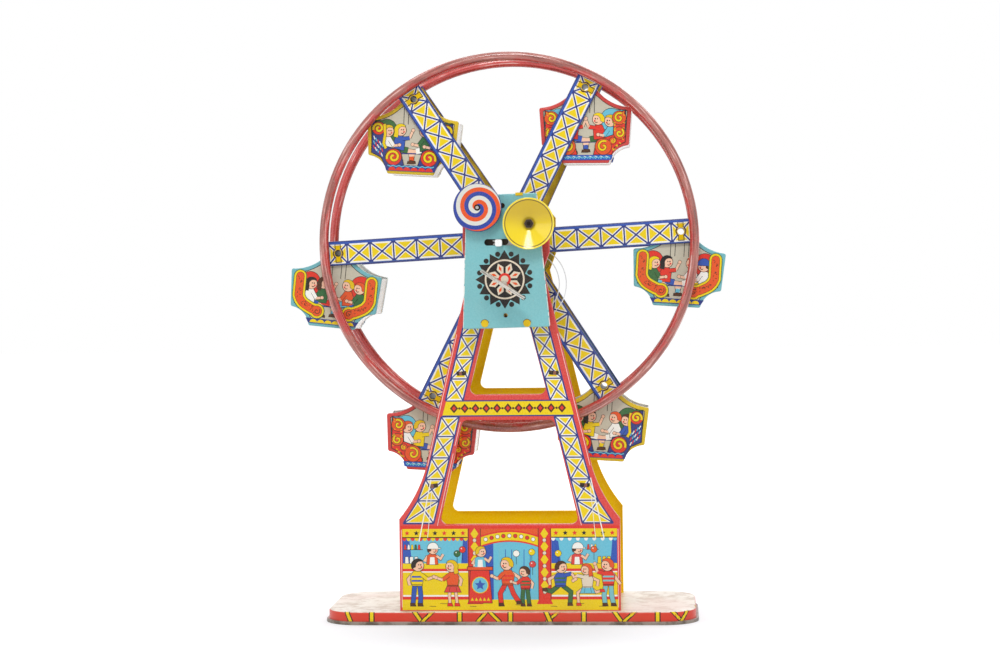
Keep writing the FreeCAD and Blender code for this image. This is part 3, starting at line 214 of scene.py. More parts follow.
def inset(outline, distance):
    """Return an outline moved inwards on every side."""
    if area_of(outline) < 0:
        outline = outline[::-1]
    count, moved = len(outline), []
    for index, here in enumerate(outline):
        here = Vector(here)
        before = (here - Vector(outline[index - 1])).normalized()
        after = (Vector(outline[(index + 1) % count]) - here).normalized()
        inward = Vector((-before.y - after.y, before.x + after.x))
        if inward.length < 1e-6:
            inward = Vector((-before.y, before.x))
        inward.normalize()
        share = max(inward.dot(Vector((-before.y, before.x))), 0.35)
        moved.append(tuple(here + inward * (distance / share)))
    return moved


def shrunk(outline, distance):
    """Return an outline moved inwards, or nothing where no area is left."""
    if area_of(outline) < 0:
        outline = outline[::-1]
    middle = sum((Vector(p) for p in outline), Vector((0, 0))) / len(outline)
    moved = inset(outline, distance)
    for new, old in zip(moved, outline):
        if (Vector(new) - middle).dot(Vector(old) - middle) <= 0:
            return []
    return moved if area_of(moved) > SMALLEST_AREA else []


def block(left, right, low, high):
    """Return an upright rectangle."""
    return [(left, low), (right, low), (right, high), (left, high)]


def tapered(x, low, high, foot, top):
    """Return a shape with level edges from its half widths at the foot and at the top."""
    return [(x - foot, low), (x + foot, low), (x + top, high), (x - top, high)]


def diamond(x, z, across, up):
    return [(x - across, z), (x, z - up), (x + across, z), (x, z + up)]


def star(x, z, outer, inner, points=5):
    """Return a star with one point at the top."""
    shape = []
    for index in range(points * 2):
        radius = outer if index % 2 == 0 else inner
        angle = math.radians(90 + 180 * index / points)
        shape.append((x + radius * math.cos(angle), z + radius * math.sin(angle)))
    return shape


def volute(x, z, radius, start, hand, turns, steps):
    """Return the path of a scroll that winds in to its middle from an angle in degrees."""
    path = []
    for index in range(steps + 1):
        share = index / steps
        reach = radius * (1 - 0.86 * share)
        angle = math.radians(start) + hand * share * turns * math.tau
        path.append((x + reach * math.cos(angle), z + reach * math.sin(angle)))
    return path


def sided(outline, side):
    """Return an outline as it is for side 1, or its mirror image for side -1."""
    return [(side * x, y) for x, y in outline]


def scaled(outline, x, z, size, facing=1):
    """Return an outline drawn about the origin at a place and in a size; facing -1 mirrors it."""
    return [(x + facing * size * a, z + size * b) for a, b in outline]


def crossing(a, c, b, d):
    """Return where the line a-c crosses the line b-d."""
    a, c, b, d = (Vector(p) for p in (a, c, b, d))
    first, second = c - a, d - b
    bottom = first.x * second.y - first.y * second.x
    share = ((b - a).x * second.y - (b - a).y * second.x) / bottom
    return tuple(a + first * share)


class Print:
    """Flat inked shapes on a face, laid over one another in thin layers."""

    def __init__(self, place):
        self.place = place
        self.inks, self.sizes = bpy.context.scene.ferris_inks, bpy.context.scene.ferris_sizes
        self.points, self.faces, self.colours = [], [], []
        self.shapes = 0

    def lift(self, layer):
        """Return the height of the next shape; no two in a row lie quite level."""
        self.shapes += 1
        return LAYER * layer + RISE * (self.shapes % RISES)

    def tint(self, colour):
        """Return an ink by its name; a colour given as values stays as it is."""
        return tuple(getattr(self.inks, colour) if isinstance(colour, str) else colour)

    def fill(self, outline, colour, layer=1):
        """Ink a closed area."""
        if area_of(outline) < 0:
            outline = outline[::-1]
        first, count = len(self.points), len(outline)
        for height in (0.0, self.lift(layer)):
            self.points += [self.place(x, y, height) for x, y in outline]
        self.faces.append([first + count + i for i in range(count)])
        self.faces.append([first + i for i in reversed(range(count))])
        for i in range(count):
            j = (i + 1) % count
            self.faces.append([first + i, first + j, first + count + j, first + count + i])
        self.colours += [self.tint(colour)] * (count + 2)

    def stroke(self, path, width, colour, layer=1, closed=False):
        """Ink a line of one width along a path."""
        count = len(path)
        sides = []
        for index, here in enumerate(path):
            here = Vector(here)
            before = Vector(path[index - 1]) if index or closed else None
            after = Vector(path[(index + 1) % count]) if index < count - 1 or closed else None
            ahead = Vector((0, 0))
            if before is not None:
                ahead += (here - before).normalized()
            if after is not None:
                ahead += (after - here).normalized()
            ahead.normalize()
            left = Vector((-ahead.y, ahead.x))
            reach = width / 2
            if before is not None and after is not None:
                run = (here - before).normalized()
                reach /= max(left.dot(Vector((-run.y, run.x))), 0.4)
            sides.append((here - left * reach, here + left * reach))
        first, lift = len(self.points), self.lift(layer)
        for right, left in sides:
            for height in (0.0, lift):
                self.points += [self.place(*right, height), self.place(*left, height)]
        for index in range(count if closed else count - 1):
            a, b = first + 4 * index, first + 4 * ((index + 1) % count)
            self.faces += [[a + 2, b + 2, b + 3, a + 3], [a, a + 1, b + 1, b],
                           [a, b, b + 2, a + 2], [a + 1, a + 3, b + 3, b + 1]]
        if not closed:
            end = first + 4 * (count - 1)
            self.faces += [[first, first + 2, first + 3, first + 1],
                           [end, end + 1, end + 3, end + 2]]
        added = 4 * (count if closed else count - 1) + (0 if closed else 2)
        self.colours += [self.tint(colour)] * added

    def outlined(self, outline, colour, edge, width=0.5, layer=1):
        """Ink an area in one colour with a line round it in another."""
        self.fill(inset(outline, -width), edge, layer)
        self.fill(outline, colour, layer + 1)

    def limb(self, path, width, colour, edge, layer=1):
        """Ink a line with a thin darker line on both sides of it."""
        self.stroke(path, width + 0.6, edge, layer)
        self.stroke(path, width, colour, layer + 1)

    def both(self, outline, colour, layer=1):
        """Ink an area and its mirror image."""
        self.fill(outline, colour, layer)
        self.fill(sided(outline, -1), colour, layer)

    def both_strokes(self, path, width, colour, layer=1):
        """Ink a line and its mirror image."""
        self.stroke(path, width, colour, layer)
        self.stroke(sided(path, -1), width, colour, layer)

    def mesh(self, name):
        """Return the mesh, with its ink stored on the faces' corners."""
        mesh = bpy.data.meshes.new(name)
        mesh.from_pydata(self.points, [], self.faces)
        ink = mesh.attributes.new("ink", "FLOAT_COLOR", "CORNER")
        values = []
        for face, colour in zip(self.faces, self.colours):
            values += [*colour, 1.0] * len(face)
        ink.data.foreach_set("color", values)
        mesh.validate()
        return mesh


def piece(name, mesh, body, material, replaces=()):
    """Make a piece of the object from a mesh and let it ride on its body."""
    obj = bpy.data.objects.new(name, mesh)
    bpy.context.scene.collection.objects.link(obj)
    if not mesh.materials:
        mesh.materials.append(material)
    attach(obj, body)
    if replaces:
        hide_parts(*replaces)
    return obj


# ---------------------------------------------------------------- repeats
def node(tree, kind, settings=None, **inputs):
    """Add a node; an input that is a socket is linked, and any other is set. n0 is its first."""
    added = tree.nodes.new(kind)
    for key, value in (settings or {}).items():
        setattr(added, key, value)
    for key, value in inputs.items():
        name = key.replace("_", " ")
        socket = added.inputs[int(name[1:]) if name[1:].isdigit() else name]
        if isinstance(value, bpy.types.NodeSocket):
            tree.links.new(value, socket)
        else:
            socket.default_value = value
    return added


def vector_math(tree, operation, **inputs):
    return node(tree, "ShaderNodeVectorMath", {"operation": operation}, **inputs)


def repeat_tree():
    """Build the tree that lays a motif out in a row, and then turns the row about a centre."""
    tree = bpy.data.node_groups.new("Repeated print", "GeometryNodeTree")
    for name, kind in (("Motif", "NodeSocketGeometry"), ("Motifs", "NodeSocketInt"),
                       ("Step", "NodeSocketVector"), ("Arms", "NodeSocketInt"),
                       ("Arm angle", "NodeSocketFloat"), ("Centre", "NodeSocketVector"),
                       ("Finish", "NodeSocketMaterial")):
        tree.interface.new_socket(name=name, in_out="INPUT", socket_type=kind)
    tree.interface.new_socket(name="Print", in_out="OUTPUT", socket_type="NodeSocketGeometry")
    given = tree.nodes.new("NodeGroupInput").outputs
    back = vector_math(tree, "SCALE", n0=given["Centre"], Scale=-1.0)
    centred = node(tree, "GeometryNodeTransform", Geometry=given["Motif"],
                   Translation=back.outputs[0])
    places = node(tree, "GeometryNodeMeshLine", {"mode": "OFFSET"},
                  Count=given["Motifs"], Offset=given["Step"])
    row = node(tree, "GeometryNodeInstanceOnPoints", Points=places.outputs[0],
               Instance=centred.outputs[0])
    one_arm = node(tree, "GeometryNodeRealizeInstances", Geometry=row.outputs[0])
    hubs = node(tree, "GeometryNodeMeshLine", {"mode": "OFFSET"},
                Count=given["Arms"], Start_Location=given["Centre"], Offset=(0.0, 0.0, 0.0))
    index = node(tree, "GeometryNodeInputIndex")
    turn = node(tree, "ShaderNodeMath", {"operation": "MULTIPLY"},
                n0=index.outputs[0], n1=given["Arm angle"])
    spin = node(tree, "ShaderNodeCombineXYZ", X=0.0, Y=turn.outputs[0], Z=0.0)
    arms = node(tree, "GeometryNodeInstanceOnPoints", Points=hubs.outputs[0],
                Instance=one_arm.outputs[0], Rotation=spin.outputs[0])
    solid = node(tree, "GeometryNodeRealizeInstances", Geometry=arms.outputs[0])
    inked = node(tree, "GeometryNodeSetMaterial", Geometry=solid.outputs[0],
                 Material=given["Finish"])
    out = tree.nodes.new("NodeGroupOutput")
    tree.links.new(inked.outputs[0], out.inputs[0])
    return tree


def repeated(mesh, material, motifs, step, arms=1, arm_angle=0.0, centre=(0, 0, 0)):
    """Return the plain mesh of a motif repeated by the tree."""
    tree = bpy.data.node_groups.get("Repeated print") or repeat_tree()
    obj = bpy.data.objects.new("motif", mesh)
    bpy.context.scene.collection.objects.link(obj)
    modifier = obj.modifiers.new("Repeat", "NODES")
    modifier.node_group = tree
    values = {"Motifs": motifs, "Step": Vector(step), "Arms": arms,
              "Arm angle": math.radians(arm_angle), "Centre": Vector(centre), "Finish": material}
    for item in tree.interface.items_tree:
        if item.in_out == "INPUT" and item.name in values:
            modifier[item.identifier] = values[item.name]
    return evaluated(obj)


def evaluated(obj):
    """Return what an object's modifiers make of it as a plain mesh, and remove the object."""
    bpy.context.view_layer.update()
    depsgraph = bpy.context.evaluated_depsgraph_get()
    made = bpy.data.meshes.new_from_object(obj.evaluated_get(depsgraph))
    bpy.data.objects.remove(obj)
    return made


def joined(name, meshes):
    """Return one mesh of several, with their inks."""
    objects = []
    for mesh in meshes:
        obj = bpy.data.objects.new(name, mesh)
        bpy.context.scene.collection.objects.link(obj)
        objects.append(obj)
    with bpy.context.temp_override(active_object=objects[0], object=objects[0],
                                   selected_editable_objects=objects, selected_objects=objects):
        bpy.ops.object.join()
    mesh = objects[0].data
    bpy.data.objects.remove(objects[0])
    mesh.name = name
    return mesh


# ---------------------------------------------------------------- finishes
def shader(name):
    """Start a material and return it with its tree and its surface shader."""
    material = bpy.data.materials.new(name)
    material.use_nodes = True
    return material, material.node_tree, material.node_tree.nodes["Principled BSDF"]


def mix(tree, share, first, second, kind="MIX"):
    """Mix two colours by a share."""
    mixer = tree.nodes.new("ShaderNodeMix")
    mixer.data_type, mixer.blend_type = "RGBA", kind
    for index, value in ((0, share), (6, first), (7, second)):
        socket = mixer.inputs[index]
        if isinstance(value, bpy.types.NodeSocket):
            tree.links.new(value, socket)
        elif isinstance(value, (int, float)):
            socket.default_value = value
        else:
            socket.default_value = (*tuple(value)[:3], 1.0)
    return mixer.outputs[2]


def ramp(tree, value, low, high, out_low=0.0, out_high=1.0):
    """Map a value smoothly from one range to another."""
    mapped = node(tree, "ShaderNodeMapRange", {"interpolation_type": "SMOOTHSTEP"},
                  Value=value, n1=low, n2=high, n3=out_low, n4=out_high)
    return mapped.outputs[0]


def noise(tree, where, scale, detail=3.0, roughness=0.55):
    """Add a noise; its scale counts in metres."""
    made = node(tree, "ShaderNodeTexNoise", Vector=where, Scale=scale, Detail=detail,
                Roughness=roughness)
    return made.outputs["Fac"]


def calc(tree, operation, first, second=0.0, third=None):
    """Add a maths node."""
    added = tree.nodes.new("ShaderNodeMath")
    added.operation = operation
    for index, value in enumerate((first, second, third)):
        if isinstance(value, bpy.types.NodeSocket):
            tree.links.new(value, added.inputs[index])
        elif value is not None:
            added.inputs[index].default_value = value
    return added.outputs[0]


def parts(tree, vector):
    """Split a vector and return its parts X, Y and Z."""
    return node(tree, "ShaderNodeSeparateXYZ", Vector=vector).outputs


def off_plane(tree, where):
    """Return how far a place lies from the wheel's middle plane."""
    return calc(tree, "ABSOLUTE", calc(tree, "SUBTRACT", parts(tree, where)["Y"], WHEEL.y))


def enamel(name, colour=None, inside=None, inside_looks=0, wear=0.3, worn=(120, 104, 84),
           gloss=0.26, dents=0.25, fade=0.09, shine=0.28, coat=0.10):
    """Lithographed or sprayed tin. Without a colour, it takes the ink stored on the faces.

    Colours come as values or as functions that build them, and inside_looks is the way that
    the inner face looks: 1 to the back and -1 to the front.
    """
    material, tree, surface = shader(name)
    coord = tree.nodes.new("ShaderNodeTexCoord")
    where = coord.outputs["Object"]
    coarse = noise(tree, where, 28.0)
    fine = noise(tree, where, 620.0, 4.0, 0.7)
    if colour is None:
        stored = tree.nodes.new("ShaderNodeAttribute")
        stored.attribute_name = "ink"
        base = stored.outputs["Color"]
    else:
        base = colour(tree, coord) if callable(colour) else mix(tree, 0.0, colour, colour)
    if inside is not None:
        facing = parts(tree, coord.outputs["Normal"])["Y"]
        inward = calc(tree, "MULTIPLY", facing, float(inside_looks))
        hidden = inside(tree, coord) if callable(inside) else inside
        base = mix(tree, calc(tree, "GREATER_THAN", inward, 0.5), base, hidden)
    base = mix(tree, ramp(tree, coarse, 0.35, 0.75, 0.0, fade), base, linear(150, 128, 92))
    blotch = noise(tree, where, 170.0, 2.0)
    rubbed = calc(tree, "MULTIPLY", ramp(tree, fine, 0.60, 0.70), ramp(tree, blotch, 0.50, 0.66))
    base = mix(tree, calc(tree, "MULTIPLY", rubbed, wear), base, linear(*worn))
    tree.links.new(base, surface.inputs["Base Color"])
    tree.links.new(ramp(tree, fine, 0.3, 0.8, gloss - 0.05, gloss + 0.14),
                   surface.inputs["Roughness"])
    surface.inputs["Specular IOR Level"].default_value = shine
    surface.inputs["Coat Weight"].default_value = coat
    surface.inputs["Coat Roughness"].default_value = 0.12
    bump = node(tree, "ShaderNodeBump", Height=noise(tree, where, 16.0, 2.0), Strength=dents,
                Distance=0.0012)
    tree.links.new(bump.outputs[0], surface.inputs["Normal"])
    return material


def metal(name, colour, tarnish=(70, 58, 44), rough=0.32, dirt=0.35):
    """Bare metal with a little tarnish and fine scratches."""
    material, tree, surface = shader(name)
    where = tree.nodes.new("ShaderNodeTexCoord").outputs["Object"]
    coarse = noise(tree, where, 90.0, 4.0)
    fine = noise(tree, where, 1500.0, 3.0)
    clean = colour(tree, where) if callable(colour) else linear(*colour)
    base = mix(tree, ramp(tree, coarse, 0.42, 0.72, 0.0, dirt), clean, linear(*tarnish))
    tree.links.new(base, surface.inputs["Base Color"])
    surface.inputs["Metallic"].default_value = 1.0
    tree.links.new(ramp(tree, fine, 0.25, 0.75, rough - 0.08, rough + 0.12),
                   surface.inputs["Roughness"])
    bump = node(tree, "ShaderNodeBump", Height=fine, Strength=0.08, Distance=0.0001)
    tree.links.new(bump.outputs[0], surface.inputs["Normal"])
    return material


def finish_of(name):
    """Return a finish by its name, making it when it is first asked for."""
    own = f"{name}_finish"
    return bpy.data.materials.get(own) or FINISHES[name](own)


def tray_colour(tree, coord):
    """The tray: bare rim, red side and worn cream top."""
    where = coord.outputs["Object"]
    height = parts(tree, where)["Z"]
    scuffs = noise(tree, where, 60.0, 5.0, 0.7)
    top = mix(tree, ramp(tree, scuffs, 0.42, 0.62), linear(236, 228, 218), linear(196, 176, 158))
    pink = ramp(tree, noise(tree, where, 14.0, 2.0), 0.45, 0.7, 0.0, 0.45)
    top = mix(tree, pink, top, linear(224, 186, 176))
    side = mix(tree, ramp(tree, scuffs, 0.60, 0.75, 0.0, 0.5),
               linear(216, 62, 44), linear(230, 150, 140))
    body = mix(tree, ramp(tree, height, 8.75 * MM, 9.15 * MM), side, top)
    rim = mix(tree, ramp(tree, scuffs, 0.4, 0.6), linear(150, 140, 130), linear(96, 84, 74))
    return mix(tree, ramp(tree, height, 2.3 * MM, 2.6 * MM), rim, body)


def from_axis(tree, where, x, z):
    """Return a place's distance from a line that runs front to back, its offset and its way out."""
    offset = vector_math(tree, "MULTIPLY_ADD", n0=where, n1=(1.0, 0.0, 1.0), n2=(-x, 0.0, -z))
    flat = offset.outputs[0]
    length = vector_math(tree, "LENGTH", n0=flat)
    away = vector_math(tree, "NORMALIZE", n0=flat)
    return length.outputs["Value"], flat, away.outputs[0]


def ring_colour(tree, coord):
    """The rings: red lacquer with streaks, rubbed to a dusty pink on their outer sides, with pale painted
    highlight streaks and dark streaks along them.
    """
    where, normal = coord.outputs["Object"], coord.outputs["Normal"]
    _, flat, outward = from_axis(tree, where, WHEEL.x, WHEEL.z)
    end = calc(tree, "SIGN", calc(tree, "SUBTRACT", parts(tree, where)["Y"], WHEEL.y))
    face = calc(tree, "MULTIPLY", parts(tree, normal)["Y"], end)
    outside = vector_math(tree, "DOT_PRODUCT", n0=normal, n1=outward).outputs["Value"]
    spin = calc(tree, "ARCTAN2", outside, face)
    way = parts(tree, flat)
    along = node(tree, "ShaderNodeCombineXYZ", X=calc(tree, "MULTIPLY", way["X"], 34.0),
                 Y=calc(tree, "MULTIPLY", spin, 2.3), Z=calc(tree, "MULTIPLY", way["Z"], 34.0))
    streak_and_sheen = noise(tree, along.outputs[0], 1.0, 4.0, 0.6)
    patch = noise(tree, where, 38.0, 4.0, 0.65)
    rubbed = calc(tree, "MULTIPLY_ADD", face, 0.16,
                  calc(tree, "MULTIPLY_ADD", outside, 0.12, patch))
    paint = mix(tree, ramp(tree, streak_and_sheen, 0.35, 0.65), linear(172, 44, 42), linear(206, 74, 68))
    dusty = mix(tree, ramp(tree, streak_and_sheen, 0.35, 0.68), linear(132, 76, 64), linear(184, 128, 118))
    base = mix(tree, ramp(tree, rubbed, 0.52, 0.68, 0.0, 0.8), paint, dusty)
    # Pale painted highlight streaks along the tube.
    base = mix(tree, ramp(tree, streak_and_sheen, 0.58, 0.68, 0.0, 0.7), base, linear(236, 196, 190))
    return mix(tree, ramp(tree, streak_and_sheen, 0.40, 0.32, 0.0, 0.7), base, linear(96, 48, 44))


def bell_colour(tree, coord):
    """The bell: yellow, darker above as painted shade, brown round the nut, a dark line of painted shade and a
    pale rolled lip as a painted highlight.
    """
    low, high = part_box("bell_stud")
    middle = (low + high) / 2
    reach, flat, _ = from_axis(tree, coord.outputs["Object"], middle.x, middle.z)
    # Darker towards the top: painted shade inside the dish.
    base = mix(tree, ramp(tree, parts(tree, flat)["Z"], -6 * MM, 9 * MM),
               linear(238, 210, 0), linear(210, 178, 8))
    base = mix(tree, ramp(tree, reach, 2.2 * MM, 6.0 * MM), linear(128, 98, 8), base)
    # A dark line of painted shade where the rolled lip turns.
    off_line = calc(tree, "ABSOLUTE", calc(tree, "SUBTRACT", reach, BELL_LINE * MM))
    base = mix(tree, ramp(tree, off_line, 0.5 * MM, 0.25 * MM), base, linear(116, 90, 6))
    # The pale rolled lip is a painted highlight.
    lip = ramp(tree, reach, (BELL_LINE + 0.3) * MM, (BELL_LINE + 0.6) * MM)
    return mix(tree, lip, base, linear(246, 222, 60))


def pivot_colour(tree, coord):
    """The pivot tubes: yellow flared ends, and dark steel between the spokes, painted shade seen in the pivot
    holes.
    """
    # Dark brown between the spokes: painted shade inside the pivot holes.
    end = ramp(tree, off_plane(tree, coord.outputs["Object"]),
               (SPOKE_FACE - 0.4) * MM, (SPOKE_FACE - 0.1) * MM)
    return mix(tree, end, linear(66, 48, 20), linear(224, 184, 20))


def spoke_inside(tree, coord):
    """The spokes' inner faces: mustard lacquer, blue on the edges and blue grey on one spoke."""
    where = coord.outputs["Object"]
    lacquer = mix(tree, ramp(tree, noise(tree, where, 70.0), 0.35, 0.7),
                  linear(202, 170, 44), linear(164, 136, 40))
    place = parts(tree, where)
    low = ramp(tree, place["Z"], WHEEL.z - 40 * MM, WHEEL.z - 75 * MM)
    right = ramp(tree, place["X"], 10 * MM, 22 * MM)
    base = mix(tree, calc(tree, "MULTIPLY", low, right), lacquer, linear(92, 122, 158))
    edge = ramp(tree, off_plane(tree, where), (SPOKE_FACE - 1.2) * MM, (SPOKE_FACE - 1.7) * MM)
    return mix(tree, edge, base, linear(64, 72, 150))


def hammer_colour(tree, where):
    """The hammer: bright head in front of the cover, and the arm behind it darkened as painted shade."""
    front = PLANE - COVER_FACE
    # Behind the cover plate the arm is dark: painted shade.
    behind = ramp(tree, parts(tree, where)["Y"], (front - 0.6) * MM, (front + 0.2) * MM)
    return mix(tree, behind, linear(250, 250, 248), linear(74, 62, 54))


def as_colour(value):
    """Return the colour of an ink's name or of 0 to 255 values; a function stays as it is."""
    if value is None or callable(value):
        return value
    return linear(*(INKS[value] if isinstance(value, str) else value))


def tin(colour, inside=None, **looks):
    """Return a maker of enamelled tin."""
    return lambda name: enamel(name, as_colour(colour), as_colour(inside), **looks)


def bare(colour, **looks):
    """Return a maker of bare metal."""
    return lambda name: metal(name, colour, **looks)


# Each finish is named for a slot in the record or for the pieces that have it.
# The towers' inner yellow is brighter than the gold ink: painted light for the light that reaches the inner faces
# from behind.
TOWER_INSIDE = (255, 218, 14)
WHITE_ENAMEL = (252, 252, 250)
BORDER_COLOURS = {"turquoise": (112, 178, 186), "red": (204, 66, 62), "yellow": (214, 182, 30)}
FINISHES = {
    "printed_ink": tin(None, wear=0.35),
    "tray_enamel": tin(tray_colour, wear=0.5, dents=0.5, gloss=0.34),
    "front_tower_enamel": tin("coral", TOWER_INSIDE, inside_looks=1, wear=0.4, shine=0.4),
    "rear_tower_enamel": tin(TOWER_INSIDE, "coral", inside_looks=1, wear=0.4, fade=0.05),
    "stiffener_enamel": tin(TOWER_INSIDE, wear=0.5),
    "front_spoke_enamel": tin("navy", spoke_inside, inside_looks=1),
    "rear_spoke_enamel": tin("navy", spoke_inside, inside_looks=-1),
    "cover_enamel": tin("turquoise", wear=0.6, shine=0.35),
    "bell_enamel": tin(bell_colour, gloss=0.14, dents=0.03, wear=0.2, shine=0.42, coat=0.25,
                       fade=0.0),
    "disc_enamel": tin("navy", wear=0.4),
    "hub_enamel": tin((150, 130, 40)),
    "ring_enamel": tin(ring_colour, wear=0.6, worn=(222, 190, 182), fade=0.0, shine=0.6, coat=0.3),
    "ear_enamel": tin("gold", wear=0.8),
    "tub_white": tin(WHITE_ENAMEL, wear=0.06, worn=(186, 178, 168), fade=0.02),
    "pivot_tin": tin(pivot_colour, wear=0.8, worn=(74, 52, 26), shine=0.04, coat=0.0),
    "bare_tin": bare((196, 190, 180), rough=0.38),
    "steel": bare((178, 176, 172), rough=0.30),
    "dark_steel": bare((70, 62, 56), rough=0.42),
    "black_steel": bare((44, 36, 32), rough=0.5),
    "hammer_steel": bare(hammer_colour, rough=0.24, dirt=0.1),
    "spring_steel": bare((206, 206, 208), rough=0.30, dirt=0.15),
    "key_nickel": bare((204, 199, 190), rough=0.28, dirt=0.12),
    "brass": bare((206, 168, 96), rough=0.30),
}
for border, shade in BORDER_COLOURS.items():
    for end, looks in (("front", 1), ("rear", -1)):
        FINISHES[f"{border}_{end}"] = tin(shade, WHITE_ENAMEL, inside_looks=looks, wear=0.25,
                                          worn=(132, 112, 92), shine=0.35, fade=0.05)

# Pieces that look different from the rest of their slot.
SPECIAL_FINISHES = {
    "front_tower": "front_tower_enamel", "rear_tower": "rear_tower_enamel",
    "front_spokes": "front_spoke_enamel", "rear_spokes": "rear_spoke_enamel",
    "cover_posts": "ear_enamel", "leg_stiffeners": "stiffener_enamel", "pivot_tubes": "pivot_tin",
    "bell_hammer": "hammer_steel", "hammer_rivet": "black_steel", "bell_nut": "dark_steel",
    # The winding arbor and the bridge plate are dark steel as painted shade, seen round the key and through the
    # cover's slot.
    "bell_stud": "black_steel", "disc_rivet": "black_steel", "winding_arbor": "dark_steel",
    "bridge_plate": "dark_steel", "axle_gear": "dark_steel", "axle_cap": "black_steel",
    "wheel_axle": "dark_steel", "front_bush": "dark_steel",
}


# ---------------------------------------------------------------- operators
def seen_directly(tree):
    """Return 1 for a ray from the camera, a mirror or a pane, and 0 for one that lights things."""
    path = tree.nodes.new("ShaderNodeLightPath").outputs
    through = calc(tree, "MAXIMUM", path["Is Glossy Ray"], path["Is Transmission Ray"])
    return calc(tree, "MAXIMUM", path["Is Camera Ray"], through)


class FERRIS_OT_stage(bpy.types.Operator):
    """Set up the floor, the lamps, the world and the camera"""
    bl_idname = "ferris.stage"
    bl_label = "Stage"
    sensor, lens = 36.0, 83.0106                # mm
    yaw, pitch, roll = 4.2259, 1.4673, -0.6543  # degrees
    aim = (-8.888, 0, 214.81)                   # what the camera looks at, mm
    distance = 1.75343                          # m
    lamps = {                                   # place and size in m, power in W
        "key_lamp": ((-0.06, -1.10, 1.38), 0.42, 8.6),
        "left_lamp": ((-1.25, -0.9, 0.75), 0.9, 3.4),
        "right_lamp": ((1.3, -0.7, 0.6), 0.8, 3.0),
        "back_lamp": ((0.1, 1.3, 1.3), 1.5, 14.0),
    }
    lamp_aim = (0, 0, 0.2)                      # where the lamps point, m
    floor_half, floor_drop = 6, 0.0002          # m

    def camera(self, scene):
        """Place the camera so that it looks at its aim."""
        camera = bpy.data.objects.new("camera", bpy.data.cameras.new("camera"))
        scene.collection.objects.link(camera)
        camera.data.sensor_width, camera.data.lens = self.sensor, self.lens
        yaw, pitch, roll = (math.radians(a) for a in (self.yaw, self.pitch, self.roll))
        ahead = Vector((-math.sin(yaw) * math.cos(pitch), math.cos(yaw) * math.cos(pitch),
                        -math.sin(pitch)))
        right = Vector((math.cos(yaw), math.sin(yaw), 0))
        up = right.cross(ahead)
        across = right * math.cos(roll) + up * math.sin(roll)
        above = up * math.cos(roll) - right * math.sin(roll)
        turn = Matrix((across, above, -ahead)).transposed().to_4x4()
        camera.matrix_world = Matrix.Translation(point(*self.aim) - ahead * self.distance) @ turn
        camera.data.clip_start, camera.data.clip_end = 0.1, 20.0
        scene.camera = camera

    def light(self, scene):
        """Place the lamps, and a world that looks white but lights less."""
        for name, (where, size, power) in self.lamps.items():
            lamp = bpy.data.objects.new(name, bpy.data.lights.new(name, "AREA"))
            scene.collection.objects.link(lamp)
            lamp.data.shape, lamp.data.size, lamp.data.energy = "SQUARE", size, power
            lamp.location = where
            way = Vector(self.lamp_aim) - Vector(where)
            lamp.rotation_euler = way.to_track_quat("-Z", "Y").to_euler()
        world = bpy.data.worlds.new("studio")
        scene.world = world
        world.use_nodes = True
        tree = world.node_tree
        tree.nodes.clear()
        strength = calc(tree, "MULTIPLY_ADD", seen_directly(tree), 0.42, 0.58)
        back = node(tree, "ShaderNodeBackground", Color=(1, 1, 1, 1), Strength=strength)
        out = tree.nodes.new("ShaderNodeOutputWorld")
        tree.links.new(back.outputs[0], out.inputs[0])

    def floor(self, scene):
        """Lay a white floor; where it is seen directly, it glows less near the toy as a painted shadow and
        brighter away from it.
        """
        mesh = bpy.data.meshes.new("floor")
        half = self.floor_half
        corners = [(x, y, 0) for x, y in block(-half, half, -half, half)]
        mesh.from_pydata(corners, [], [(0, 1, 2, 3)])
        floor = bpy.data.objects.new("floor", mesh)
        scene.collection.objects.link(floor)
        floor.location.z = -self.floor_drop
        material, tree, surface = shader("floor_paper")
        tree.nodes.remove(surface)
        mesh.materials.append(material)
        paper = node(tree, "ShaderNodeBsdfDiffuse", Color=(0.85, 0.85, 0.85, 1))
        soft = node(tree, "ShaderNodeBsdfDiffuse", Color=(0.42, 0.42, 0.44, 1))
        where = tree.nodes.new("ShaderNodeTexCoord").outputs["Object"]
        near = vector_math(tree, "MULTIPLY_ADD", n0=where, n1=(0.8, 1.0, 0.0), n2=(0.0, 0.02, 0.0))
        away = vector_math(tree, "LENGTH", n0=near.outputs[0]).outputs["Value"]
        # Weaker glow near the toy: a painted shadow on the floor.
        glow = node(tree, "ShaderNodeEmission", Color=(1, 1, 1, 1),
                    Strength=ramp(tree, away, 0.05, 0.30, 0.50, 0.92))
        lit = node(tree, "ShaderNodeAddShader", n0=soft.outputs[0], n1=glow.outputs[0])
        both = node(tree, "ShaderNodeMixShader", n0=seen_directly(tree), n1=paper.outputs[0],
                    n2=lit.outputs[0])
        tree.links.new(both.outputs[0], tree.nodes["Material Output"].inputs[0])

    def execute(self, context):
        scene = context.scene
        scene.view_settings.view_transform = "Standard"
        self.camera(scene)
        self.light(scene)
        self.floor(scene)
        return {"FINISHED"}


class FERRIS_OT_finishes(bpy.types.Operator):
    """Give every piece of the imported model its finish"""
    bl_idname = "ferris.finishes"
    bl_label = "Finishes"

    def execute(self, context):
        slots = {part["node"]: part["material_slot"] for part in frame["record"]["subparts"]}
        finishes = dict(SPECIAL_FINISHES)
        for number, border in enumerate(BORDERS, start=1):
            finishes[f"gondola_{number}_front_panel"] = f"{border}_front"
            finishes[f"gondola_{number}_rear_panel"] = f"{border}_rear"
            finishes[f"gondola_{number}_tub"] = "tub_white"
        for name, obj in NODES.items():
            obj.data.materials.clear()
            obj.data.materials.append(finish_of(finishes.get(name, slots[name])))
        return {"FINISHED"}


